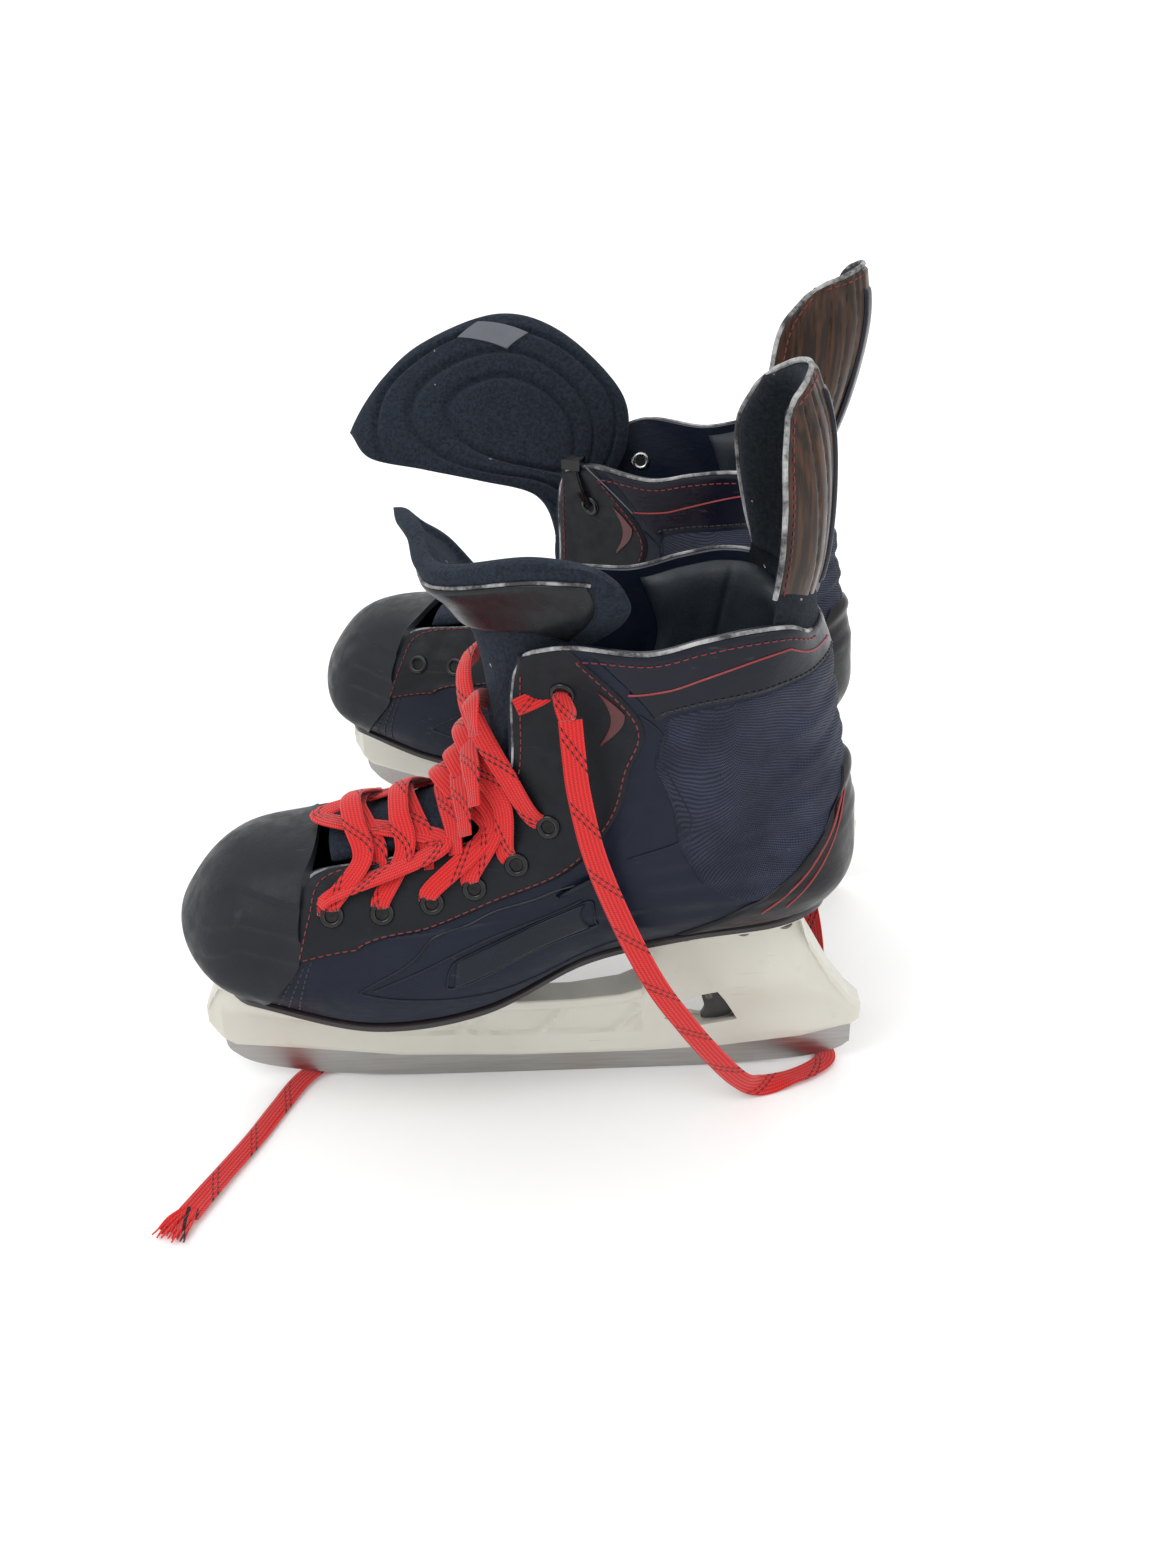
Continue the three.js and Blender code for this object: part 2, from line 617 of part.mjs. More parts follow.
// Free ends, from the top eyelets to the ice, as points of [x, y, z] in the skate's frame.
const outerTail = [[14, -48.5, 198], [15, -51, 186], [17, -52, 168], [23, -52, 140], [34, -50, 108],
  [47, -47, 78], [60, -42, 54], [73, -36, 32], [86, -29, 13], [97, -21, 3.5], [110, -15, 2.1],
  [121, -9, 2.1], [128, -1, 2.1], [126, 9, 2.1], [116, 17, 2.1], [98, 21, 2.1], [75, 21, 2.1],
  [50, 19, 2.1], [25, 19, 2.1], [0, 21, 2.1], [-25, 22, 2.1]];
const innerTail = [[16, 48.5, 198], [24, 52, 182], [40, 55, 162], [62, 56, 140], [86, 54, 116],
  [106, 50, 92], [120, 46, 66], [128, 42, 40], [130, 38, 16], [126, 34, 4], [114, 31, 2.1], [92, 31, 2.1],
  [66, 30, 2.1], [38, 30, 2.1], [10, 31, 2.1], [-20, 32, 2.1], [-48, 30, 2.1], [-72, 22, 2.1],
  [-90, 10, 2.1], [-103, -3, 2.1], [-112, -22, 2.1], [-121, -44, 2.1], [-131, -66, 2.1], [-142, -90, 2.1]];

function laceTail(points) {
  return laceTube(points.map(([x, y, z]) => new THREE.Vector3(
    x * stretch.x, y * stretch.y, z < onTheIce ? z : z * stretch.z)), Math.round(1.5 * points.length));
}

// ---------------------------------------------------------------- colours and assembly
const finish = (color, roughness, metalness = 0) => new THREE.MeshStandardMaterial({
  color, roughness, metalness,
});
const black = finish(0x1b1c20, 0.55);
const navy = finish(0x20242f, 0.7);
const felt = finish(0x14161c, 0.95);
const cream = finish(0xd9d5c4, 0.4);
const steel = finish(0x8d8b88, 0.35, 1);
const bronze = finish(0x3a2e26, 0.3);
const red = finish(0xc9202a, 0.8);
const dark = finish(0x2a2a2c, 0.45);

const guardLean = { left: -5, right: 8 };

function makeSkate(which) {
  const skate = new THREE.Group();
  const add = (name, geometry, material) => {
    const mesh = new THREE.Mesh(geometry, material);
    mesh.name = `${which}_${name}`;
    skate.add(mesh);
  };
  add('toe_cap', makeToeCap(), black);
  add('quarter_lateral', makeQuarter(-1), navy);
  add('quarter_medial', makeQuarter(1), navy);
  add('facing_lateral', makeFacing(-1), black);
  add('facing_medial', makeFacing(1), black);
  add('heel_counter', makeHeelCounter(), dark);
  add('collar_liner', makeCollarLiner(), felt);
  add('footbed', makeFootbed(), felt);
  add('outsole', makeOutsole(), dark);
  add('tongue_base', makeTongueBase(), felt);
  add('tongue_upper', makeUpperTongue(which), felt);
  add('tongue_shell', makeTongueShell(which), dark);
  add('tendon_guard', makeTendonGuard(guardLean[which]), bronze);
  add('holder', makeHolder(), cream);
  add('front_rivets', makeRivets('front'), steel);
  add('rear_rivets', makeRivets('rear'), steel);
  add('runner', makeRunner(), steel);
  add('trigger', makeTrigger(), dark);
  add('trigger_pin', makeTriggerPin(), steel);
  add('trigger_spring', makeTriggerSpring(), steel);
  if (which === 'left') {
    add('lace_crossing', laceTube(crossingPoints(), 110, 6), red);
    add('lace_tail_outer', laceTail(outerTail), red);
    add('lace_tail_inner', laceTail(innerTail), red);
  } else {
    skate.scale.y = -1;
    skate.rotation.z = pairTurn;
    skate.position.set(pairOffset[0] * stretch.x, pairOffset[1] * stretch.y, 0);
  }
  return skate;
}

const pair = new THREE.Group();
pair.add(makeSkate('left'), makeSkate('right'));
pair.updateMatrixWorld(true);

// The pair stands on z = 0 with the middle of its outline, free lace ends left out, over the origin.
const outline = new THREE.Box3();
pair.traverse((mesh) => {
  if (mesh.isMesh && !mesh.name.includes('lace_tail')) outline.expandByObject(mesh, true);
});
const centre = outline.getCenter(new THREE.Vector3());
pair.position.set(-centre.x, -centre.y, -outline.min.z);

export default pair;
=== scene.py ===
"""Looks of a pair of ice hockey skates: a laced left skate in front and an unlaced right skate.

Points on a skate are millimetres in the skate's own frame: the ice is z = 0, the toe points to -X, the
middle of the steel is at x = 0 and the outer side of the foot is -Y. Columns and rows of the boot's
surface are counted from the heel (0) to the front edge (7) and from the sole (0) to the collar (9).
"""
import math
import random

import bmesh
import bpy
import numpy as np
from mathutils import Matrix, Vector


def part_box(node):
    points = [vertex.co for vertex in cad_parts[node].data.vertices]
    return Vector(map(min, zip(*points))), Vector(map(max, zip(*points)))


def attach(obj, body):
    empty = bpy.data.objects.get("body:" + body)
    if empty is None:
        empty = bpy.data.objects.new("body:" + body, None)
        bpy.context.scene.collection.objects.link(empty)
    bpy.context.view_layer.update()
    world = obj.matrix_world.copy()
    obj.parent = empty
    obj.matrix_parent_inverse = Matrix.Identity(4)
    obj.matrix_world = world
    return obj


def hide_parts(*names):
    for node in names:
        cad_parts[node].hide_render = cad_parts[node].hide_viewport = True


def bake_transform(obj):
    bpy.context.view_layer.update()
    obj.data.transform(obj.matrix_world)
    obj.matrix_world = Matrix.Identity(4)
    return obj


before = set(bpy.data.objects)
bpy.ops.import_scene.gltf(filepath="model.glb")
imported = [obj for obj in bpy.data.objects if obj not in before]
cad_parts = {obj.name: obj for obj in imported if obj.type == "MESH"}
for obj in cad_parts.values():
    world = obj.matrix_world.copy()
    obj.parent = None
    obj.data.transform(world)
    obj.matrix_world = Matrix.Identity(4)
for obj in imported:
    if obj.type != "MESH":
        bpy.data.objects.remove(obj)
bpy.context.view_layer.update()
random.seed(7)

MM = 0.001
SIDES = {"lateral": -1, "medial": 1}
TURN = {"left": 0.0, "right": math.radians(-23.3)}
STEEL_MIDDLE = 1.0  # x of the runner's middle in the skate's frame
SHELL_WALL = 4.0
LACE_WIDTH = 9.0
LACE_THICKNESS = 1.4
GUARD_LEAN = {"left": math.radians(-5), "right": math.radians(8)}
GUARD_PIVOT = (112, 222)


# ---------------------------------------------------------------- frame and camera
def to_row(which, points):
    """Skate millimetres to the frame's metres."""
    p = np.asarray(points, float).reshape(-1, 3) - [STEEL_MIDDLE, 0, 0]
    low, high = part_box(f"{which}_runner")
    middle = (low + high) / 2
    mirror = -1 if which == "right" else 1
    c, s = math.cos(TURN[which]), math.sin(TURN[which])
    x, y = p[:, 0] * MM, p[:, 1] * MM * mirror
    return np.column_stack([x * c - y * s + middle.x, x * s + y * c + middle.y, p[:, 2] * MM])


def make_camera():
    yaw, pitch, roll = math.radians(2.44), math.radians(28.77), math.radians(-0.36)
    forward = Vector((math.sin(yaw) * math.cos(pitch), math.cos(yaw) * math.cos(pitch), -math.sin(pitch)))
    right = Vector((math.cos(yaw), -math.sin(yaw), 0))
    up = right.cross(forward)
    right, up = (right * math.cos(roll) + up * math.sin(roll), up * math.cos(roll) - right * math.sin(roll))
    data = bpy.data.cameras.new("camera")
    data.lens = 41.54
    data.sensor_width = 36
    camera = bpy.data.objects.new("camera", data)
    turn = Matrix((right, up, -forward)).transposed().to_4x4()
    camera.matrix_world = Matrix.Translation(to_row("left", (-5.9, -641.1, 498.4))[0]) @ turn
    bpy.context.scene.collection.objects.link(camera)
    bpy.context.scene.camera = camera


# ---------------------------------------------------------------- surfaces
def smooth(t):
    t = np.clip(t, 0, 1)
    return t * t * (3 - 2 * t)


def padded(net, axis):
    first, second = np.take(net, [0], axis), np.take(net, [1], axis)
    before, last = np.take(net, [-2], axis), np.take(net, [-1], axis)
    return np.concatenate([2 * first - second, net, 2 * last - before], axis)


def spline_weights(t):
    return np.stack([2 * t**2 - t - t**3, 2 - 5 * t**2 + 3 * t**3, t + 4 * t**2 - 3 * t**3, t**3 - t**2]) / 2


class Net:
    """A smooth surface through rows of points: c counts along a row and r from row to row."""

    def __init__(self, rows, place=None):
        net = np.array(rows, float)
        self.count = (net.shape[1], net.shape[0])
        self.net = padded(padded(net, 0), 1)
        self.place = place or (lambda p: p)

    def at(self, c, r):
        c, r = np.broadcast_arrays(np.asarray(c, float), np.asarray(r, float))
        i = np.clip(np.floor(c), 0, self.count[0] - 2).astype(int)
        j = np.clip(np.floor(r), 0, self.count[1] - 2).astype(int)
        wc, wr = spline_weights(c - i), spline_weights(r - j)
        total = sum((wr[b] * wc[a])[..., None] * self.net[j + b, i + a] for a in range(4) for b in range(4))
        return self.place(total)

    def normal(self, c, r, step=0.04):
        du = self.at(c + step, r) - self.at(c - step, r)
        dv = self.at(c, r + step) - self.at(c, r - step)
        n = np.cross(du, dv)
        return n / np.maximum(np.linalg.norm(n, axis=-1, keepdims=True), 1e-9)

    def lifted(self, c, r, lift=0.0):
        return self.at(c, r) + self.normal(c, r) * np.asarray(lift, float)[..., None]


def boot_place(p):
    """The toe leans 5 mm to the inner side."""
    p = np.array(p, float)
    p[..., 1] += 5 * smooth((-20 - p[..., 0]) / 125)
    return p


def both_sides(rows):
    return [[[x, -w, z] for x, w, z in reversed(row[1:])] + [list(p) for p in row] for row in rows]


QUARTER = [
    [[124, 0, 95.5], [116.5, 17, 95], [98, 28, 93.5], [60, 31, 90], [20, 33, 81.5], [-22, 38, 61.5],
     [-68, 42, 56.5], [-113, 36, 63.5]],
    [[131, 0, 111], [121.5, 24, 109], [97, 35, 106], [60, 38, 100], [20, 38, 92], [-25, 43, 78],
     [-70, 46, 74], [-108, 42.5, 72]],
    [[131, 0, 126], [121, 25, 123], [97, 37, 118], [62, 41, 113], [22, 41, 106], [-25, 43, 98],
     [-70, 43.5, 95], [-98, 43, 88]],
    [[130, 0, 140], [119, 25, 136], [95, 37, 131], [64, 42, 125], [32, 41, 117], [-2, 40, 109],
     [-40, 40, 103], [-96, 38, 106]],
    [[127, 0, 155], [116, 24, 150], [93, 37, 144], [66, 42.5, 137], [39, 42, 129], [12, 40, 120],
     [-15, 38, 113], [-91, 28, 120.5]],
    [[124, 0, 168], [113.5, 24, 163], [92, 37, 157], [69, 43, 150], [49, 42.5, 142], [31, 41, 134],
     [14, 38.5, 127], [-60, 25, 126]],
    [[122, 0, 180], [111.5, 23.5, 176], [91, 37, 171], [72, 43, 166], [57, 43, 160], [44, 42, 155],
     [31, 40, 150], [-21, 25, 136]],
    [[120, 0, 193], [110, 24, 190], [90, 37.5, 187], [73, 43, 183], [60, 43.5, 180], [48, 42.5, 176],
     [37, 41, 172], [-10, 26, 164]],
    [[118, 0, 205], [108, 24, 204], [90, 39, 203], [75, 43.5, 201], [63, 44, 199], [52, 43.5, 196],
     [41, 42, 193], [-9, 28, 198]],
    [[113, 0, 219], [106, 24, 221], [96, 37, 228], [80, 43, 229], [63, 44, 226], [42, 43.5, 221],
     [14, 40, 223], [-5, 30, 216]],
]
TOE = [row + [QUARTER[r][-1]] for r, row in enumerate([
    [[-136, 0, 69], [-132, 17, 66], [-124, 29, 63.5]],
    [[-147, 0, 82], [-142, 20, 79], [-129, 36, 75]],
    [[-142.5, 0, 99], [-137, 20, 97], [-124, 35, 94]],
    [[-124, 0, 119], [-120, 17, 117], [-111, 29, 113]],
    [[-88, 0, 126], [-88, 10, 125.5], [-89, 20, 123.5]],
])]
HEEL = 7  # the heel's column on the surface of both sides
skin = Net(both_sides(QUARTER), boot_place)
toe_skin = Net([row[::-1] for row in both_sides(TOE)], boot_place)


def spot(x, z):
    """Column and row, counted on one side, of the boot's point at x, z in side view."""
    k, r = grid((0.3, 7, 68), (0, 9, 90))
    p = skin.at(HEEL - k, r)
    best = np.argmin((p[..., 0] - x) ** 2 + (p[..., 2] - z) ** 2)
    k, r = k.flat[best], r.flat[best]
    for _ in range(4):
        p = skin.at(HEEL - k, r)
        du = (skin.at(HEEL - k - 0.02, r) - p)[[0, 2]] / 0.02
        dv = (skin.at(HEEL - k, r + 0.02) - p)[[0, 2]] / 0.02
        dk, dr = np.linalg.solve(np.column_stack([du, dv]), [x - p[0], z - p[2]])
        k, r = np.clip(k + dk, 0, 7.2), np.clip(r + dr, -0.1, 9.1)
    return [k, r]


def smooth_line(points, step=1.5):
    """Evenly spaced points on a smooth curve through the given ones."""
    p = padded(np.array(points, float), 0)
    t = np.linspace(0, len(points) - 1, 40 * (len(points) - 1) + 1)
    i = np.clip(np.floor(t), 0, len(points) - 2).astype(int)
    w = spline_weights(t - i)
    curve = sum(w[a][:, None] * p[i + a] for a in range(4))
    length = np.concatenate([[0], np.cumsum(np.linalg.norm(np.diff(curve, axis=0), axis=1))])
    at = np.linspace(0, length[-1], max(2, round(length[-1] / step) + 1))
    return np.column_stack([np.interp(at, length, curve[:, k]) for k in range(curve.shape[1])])


def on_skin(spots, side, lift=0.0, step=1.5):
    """A line over the boot's side through [column, row] spots, with its surface normals."""
    rough = smooth_line(spots, 0.02)
    c = HEEL + side * rough[:, 0]
    p = skin.lifted(c, rough[:, 1], lift)
    n = skin.normal(c, rough[:, 1])
    length = np.concatenate([[0], np.cumsum(np.linalg.norm(np.diff(p, axis=0), axis=1))])
    at = np.linspace(0, length[-1], max(3, round(length[-1] / step) + 1))
    even = lambda v: np.column_stack([np.interp(at, length, v[:, k]) for k in range(3)])
    return even(p), even(n)


def side_line(points, side, lift=0.0, step=1.5):
    return on_skin([spot(x, z) for x, z in points], side, lift, step)


# ---------------------------------------------------------------- meshes
def add_piece(name, verts, faces, material, which, body, slot, uv=None, sharp=35, replaces=()):
    """A closed mesh from skate millimetres. uv holds one pair of millimetres for each vertex."""
    mesh = bpy.data.meshes.new(f"{name}_{which}")
    mesh.from_pydata(to_row(which, verts).tolist(), [], faces)
    if uv is not None:
        corner = np.zeros(len(mesh.loops), int)
        mesh.loops.foreach_get("vertex_index", corner)
        mesh.uv_layers.new(name="UVMap").data.foreach_set("uv", (np.asarray(uv)[corner] * MM).ravel())
    made = bmesh.new()
    made.from_mesh(mesh)
    bmesh.ops.recalc_face_normals(made, faces=made.faces)
    made.to_mesh(mesh)
    made.free()
    mesh.polygons.foreach_set("use_smooth", [True] * len(mesh.polygons))
    mesh.set_sharp_from_angle(angle=math.radians(sharp))
    mesh.materials.append(material)
    piece = bpy.data.objects.new(f"{name}_{which}", mesh)
    bpy.context.scene.collection.objects.link(piece)
    if body:
        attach(piece, f"{which}_{body}")
    nodes = [f"{which}_{node}" for node in replaces]
    if nodes:
        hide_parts(*nodes)
    return piece


def grid(columns, rows):
    """Columns and rows of an even grid, each given as its first, its last and their count."""
    return np.meshgrid(np.linspace(*columns), np.linspace(*rows))


def grid_faces(rows, cols, start=0):
    a = (np.arange(rows - 1)[:, None] * cols + np.arange(cols - 1)).ravel() + start
    return np.column_stack([a, a + 1, a + 1 + cols, a + cols]).tolist()


def sheet(outer, inner):
    """Vertices, faces and uv of a closed sheet between two equal grids of points."""
    rows, cols = outer.shape[:2]
    verts = np.concatenate([outer.reshape(-1, 3), inner.reshape(-1, 3)])
    faces = grid_faces(rows, cols) + grid_faces(rows, cols, rows * cols)
    edge = list(range(cols)) + [(r + 1) * cols - 1 for r in range(1, rows)]
    edge += [(rows - 1) * cols + c for c in range(cols - 2, -1, -1)]
    edge += [r * cols for r in range(rows - 2, 0, -1)]
    shift = rows * cols
    faces += [[a, b, b + shift, a + shift] for a, b in zip(edge, edge[1:] + edge[:1])]
    across = np.linalg.norm(np.diff(outer, axis=1), axis=2)
    up = np.linalg.norm(np.diff(outer, axis=0), axis=2)
    u = np.concatenate([np.zeros((rows, 1)), np.cumsum(across, 1)], 1)
    v = np.concatenate([np.zeros((1, cols)), np.cumsum(up, 0)], 0)
    uv = np.stack([u, v], -1).reshape(-1, 2)
    return verts, faces, np.concatenate([uv, uv])


def tube(path, radius, sides=8):
    """Vertices and faces of a closed tube; radius is one number or one for each point."""
    path = np.asarray(path, float)
    radius = np.broadcast_to(radius, len(path))
    tangent = np.gradient(path, axis=0)
    tangent /= np.linalg.norm(tangent, axis=1, keepdims=True)
    normal = np.cross(tangent[0], [0.31, 0.17, 0.93])
    rings = []
    for p, t, r in zip(path, tangent, radius):
        normal = normal - t * (normal @ t)
        normal /= np.linalg.norm(normal)
        side = np.cross(t, normal)
        angle = np.arange(sides) * 2 * math.pi / sides
        rings.append(p + r * (np.cos(angle)[:, None] * normal + np.sin(angle)[:, None] * side))
    return loft(rings)


def loft(rings):
    """Vertices and faces of closed rings joined in a row, with flat ends."""
    count = len(rings[0])
    faces = []
    for r in range(len(rings) - 1):
        a = r * count + np.arange(count)
        b = r * count + (np.arange(count) + 1) % count
        faces += np.column_stack([a, b, b + count, a + count]).tolist()
    last = (len(rings) - 1) * count
    faces += [list(range(count)), list(range(last + count - 1, last - 1, -1))]
    return np.concatenate(rings), faces


def merged(parts):
    """Several (vertices, faces) as one."""
    verts, faces, start = [], [], 0
    for v, f in parts:
        verts.append(v)
        faces += [[i + start for i in face] for face in f]
        start += len(v)
    return np.concatenate(verts), faces


def stitches(path, normals, length=2.1, pitch=3.4, radius=0.27):
    """Thread stitches laid along a line of points that are about 0.5 mm apart."""
    arc = np.concatenate([[0], np.cumsum(np.linalg.norm(np.diff(path, axis=0), axis=1))])
    at = lambda s, v: np.array([np.interp(s, arc, v[:, k]) for k in range(3)])
    parts = []
    for s in np.arange(pitch / 2, arc[-1] - length / 2, pitch):
        line = [at(s + length * share, path) + at(s, normals) * lift * radius
                for share, lift in ((-0.5, -0.9), (-0.4, 0.35), (0, 0.75), (0.4, 0.35), (0.5, -0.9))]
        parts.append(tube(line, [radius * 0.5, radius, radius, radius, radius * 0.5], 6))
    return merged(parts)


def add_sheet(name, outer, inner, material, which, body, slot, replaces=()):
    """A piece made of the closed sheet between two equal grids of points."""
    verts, faces, uv = sheet(outer, inner)
    return add_piece(name, verts, faces, material, which, body, slot, uv, replaces=replaces)


def rim_profile(shape, width_c, width_r):
    """1 in the middle of a grid, falling to 0 at its edges over a share of each way."""
    rows, cols = shape
    c = np.minimum(np.arange(cols), np.arange(cols)[::-1]) / (cols - 1) / width_c
    r = np.minimum(np.arange(rows), np.arange(rows)[::-1]) / (rows - 1) / width_r
    return np.sqrt(1 - (1 - np.clip(r, 0, 1))[:, None] ** 2) * np.sqrt(1 - (1 - np.clip(c, 0, 1))[None] ** 2)


def lathe(profile, place, axis, sides=20):
    """A turned ring: profile is a closed loop of [radius, height] about axis, from place."""
    axis = np.asarray(axis, float) / np.linalg.norm(axis)
    first = np.cross(axis, [0.1, 0.9, 0.3])
    first /= np.linalg.norm(first)
    second = np.cross(axis, first)
    angle = np.arange(sides) * 2 * math.pi / sides
    round_way = np.cos(angle)[:, None] * first + np.sin(angle)[:, None] * second
    rings = [np.asarray(place) + round_way * radius + axis * height for radius, height in profile]
    count = len(rings)
    verts = np.stack(rings, 0).reshape(-1, 3)
    faces = []
    for i in range(count):
        a = i * sides + np.arange(sides)
        b = i * sides + (np.arange(sides) + 1) % sides
        shift = ((i + 1) % count - i) * sides
        faces += np.column_stack([a, b, b + shift, a + shift]).tolist()
    return verts, faces


# ---------------------------------------------------------------- materials
class Paint:
    """A Principled material made from short node calls. Sizes are in metres of the piece's own mesh."""

    def __init__(self, name, **sockets):
        self.material = bpy.data.materials.new(name)
        self.material.use_nodes = True
        self.nodes = self.material.node_tree.nodes
        self.link = self.material.node_tree.links.new
        self.shader = self.nodes["Principled BSDF"]
        self.place = self.nodes.new("ShaderNodeTexCoord").outputs["Object"]
        self.bump_from = None
        for socket, value in sockets.items():
            self.set(socket, value)

    def set(self, socket, value):
        self.wire(self.shader.inputs[socket.replace("_", " ")], value)

    def wire(self, socket, value):
        if isinstance(value, bpy.types.NodeSocket):
            self.link(value, socket)
        elif socket.type == "RGBA":
            socket.default_value = (*value[:3], 1)
        else:
            socket.default_value = value

    def node(self, kind, output, inputs, **settings):
        made = self.nodes.new(f"ShaderNode{kind}")
        for key, value in settings.items():
            setattr(made, key, value)
        for key, value in inputs.items():
            self.wire(made.inputs[key], value)
        return made.outputs[output]

    def noise(self, size, detail=3.0, roughness=0.5, place=None):
        return self.node("TexNoise", "Fac", {"Vector": place or self.place, "Scale": 1 / size,
                                             "Detail": detail, "Roughness": roughness})

    def cells(self, size, feature="F1", output="Distance", place=None):
        return self.node("TexVoronoi", output, {"Vector": place or self.place, "Scale": 1 / size},
                         feature=feature)

    def stretch(self, x, y, z, turn=0.0):
        return self.node("Mapping", "Vector", {"Vector": self.place, "Rotation": (0, turn, 0),
                                               "Scale": (x, y, z)})

    def math(self, operation, a, b=0.0):
        return self.node("Math", 0, {0: a, 1: b}, operation=operation)

    def ramp(self, value, low, high, out_low=0.0, out_high=1.0):
        return self.node("MapRange", 0, {"Value": value, "From Min": low, "From Max": high,
                                         "To Min": out_low, "To Max": out_high})

    def mix(self, share, a, b):
        return self.node("Mix", 2, {0: share, 6: a, 7: b}, data_type="RGBA")

    def shades(self, share, colour, low, high):
        """A colour drifting between two multiples of itself."""
        return self.mix(share, [c * low for c in colour], [c * high for c in colour])

    def set_roughness(self, size, detail, low, high):
        self.set("Roughness", self.ramp(self.noise(size, detail), 0.3, 0.7, low, high))

    def map_axes(self):
        """The map's two directions, in millimetres."""
        made = self.nodes.new("ShaderNodeSeparateXYZ")
        self.link(self.nodes.new("ShaderNodeUVMap").outputs[0], made.inputs[0])
        return [self.math("MULTIPLY", made.outputs[k], 1000.0) for k in (0, 1)]

    def bump(self, height, distance, strength=1.0):
        inputs = {"Height": height, "Distance": distance, "Strength": strength}
        if self.bump_from is not None:
            inputs["Normal"] = self.bump_from
        self.bump_from = self.node("Bump", "Normal", inputs)
        self.wire(self.shader.inputs["Normal"], self.bump_from)


def lint(paint, base, size=0.011, share=0.05, colour=(0.62, 0.62, 0.6)):
    """Pale specks and hairs of lint scattered over a colour."""
    drift = paint.node("VectorMath", 0, {0: paint.node(
        "TexNoise", "Color", {"Vector": paint.place, "Scale": 350.0}), "Scale": 0.006}, operation="SCALE")
    place = paint.node("VectorMath", 0, {0: paint.place, 1: drift}, operation="ADD")
    specks = paint.math("LESS_THAN", paint.cells(size, place=place), share)
    kept = paint.math("MULTIPLY", specks, paint.ramp(paint.noise(0.03), 0.5, 0.6))
    return paint.mix(kept, base, colour)


def leather_paint(name, colour, roughness, grain=0.0011, scuff=0.5):
    paint = Paint(name, Specular_IOR_Level=0.2)
    mottle = paint.noise(0.02, 5)
    tone = paint.shades(mottle, colour, 0.72, 1.3)
    rubbed = paint.ramp(paint.noise(0.012, 8, 0.7), 0.62, 0.74, 0, scuff)
    lines = paint.ramp(paint.noise(0.01, 2, place=paint.stretch(0.35, 1, 5, 0.5)), 0.70, 0.73, 0, scuff)
    worn = paint.math("MAXIMUM", rubbed, lines)
    paint.set("Base_Color", paint.mix(worn, tone, [c * 2.6 + 0.02 for c in colour]))
    paint.set_roughness(0.006, 6, roughness - 0.1, roughness + 0.14)
    paint.bump(paint.cells(grain), 0.00012, 0.5)
    paint.bump(paint.noise(0.004, 4), 0.0003, 0.35)
    return paint.material


def weave_paint():
    """Navy mesh woven over black, its colour changing in patches."""
    paint = Paint("navy_mesh", Specular_IOR_Level=0.35)
    u, v = paint.map_axes()
    pitch = 1.25
    across = paint.math("SINE", paint.math("MULTIPLY", u, 2 * math.pi / pitch))
    up = paint.math("SINE", paint.math("MULTIPLY", v, 2 * math.pi / pitch))
    cross = paint.math("MULTIPLY", across, up)
    thread = paint.ramp(cross, -0.6, 0.8)
    patch = paint.ramp(paint.noise(0.03, 4), 0.35, 0.7)
    lit = paint.mix(patch, (0.018, 0.026, 0.062), (0.07, 0.09, 0.17))
    paint.set("Base_Color", lint(paint, paint.mix(thread, (0.003, 0.004, 0.008), lit), 0.009, 0.04))
    paint.set("Roughness", paint.ramp(thread, 0, 1, 0.75, 0.5))
    paint.bump(cross, 0.0004, 0.9)
    return paint.material


def film_paint(name, colour, roughness, coat=0.0):
    """Smooth coated film with faint wrinkles."""
    paint = Paint(name, Specular_IOR_Level=0.2, Coat_Weight=coat, Coat_Roughness=0.2)
    tone = paint.shades(paint.noise(0.035, 4), colour, 0.7, 1.45)
    lines = paint.ramp(paint.noise(0.009, 2, place=paint.stretch(1, 1, 3.5, -0.5)), 0.71, 0.75, 0, 0.3)
    paint.set("Base_Color", paint.mix(lines, tone, (0.05, 0.055, 0.065)))
    paint.set_roughness(0.01, 6, roughness - 0.08, roughness + 0.12)
    paint.bump(paint.noise(0.005, 3, place=paint.stretch(1, 1, 2.2, -0.4)), 0.0005, 0.4)
    paint.bump(paint.cells(0.0008), 0.00006, 0.3)
    return paint.material


def felt_paint(name, colour):
    paint = Paint(name, Roughness=0.95, Specular_IOR_Level=0.15, Sheen_Weight=0.12, Sheen_Roughness=0.6)
    paint.set("Sheen_Tint", (0.35, 0.42, 0.55))
    fuzz = paint.noise(0.0016, 6, 0.75)
    tone = paint.shades(paint.ramp(fuzz, 0.35, 0.68), colour, 0.35, 1.9)
    paint.set("Base_Color", lint(paint, tone))
    paint.bump(fuzz, 0.0009, 0.9)
    paint.bump(paint.noise(0.008, 4), 0.0012, 0.5)
    return paint.material


def lining_paint():
    """Smooth black lining, a little shiny, with specks of lint."""
    paint = Paint("black_lining", Specular_IOR_Level=0.45)
    tone = paint.mix(paint.noise(0.02, 5), (0.006, 0.009, 0.013), (0.022, 0.03, 0.042))
    paint.set("Base_Color", lint(paint, tone, 0.012, 0.05))
    paint.set_roughness(0.012, 5, 0.38, 0.72)
    paint.bump(paint.noise(0.0018, 5, 0.7), 0.0003, 0.6)
    return paint.material


def piping_paint():
    """Black piping whose crown is rubbed through to white."""
    paint = Paint("worn_piping", Roughness=0.7)
    worn = paint.ramp(paint.noise(0.016, 7, 0.72), 0.42, 0.6)
    paint.set("Base_Color", paint.mix(worn, (0.03, 0.03, 0.034), (0.4, 0.4, 0.4)))
    paint.bump(paint.noise(0.0012, 4), 0.0003, 0.7)
    return paint.material


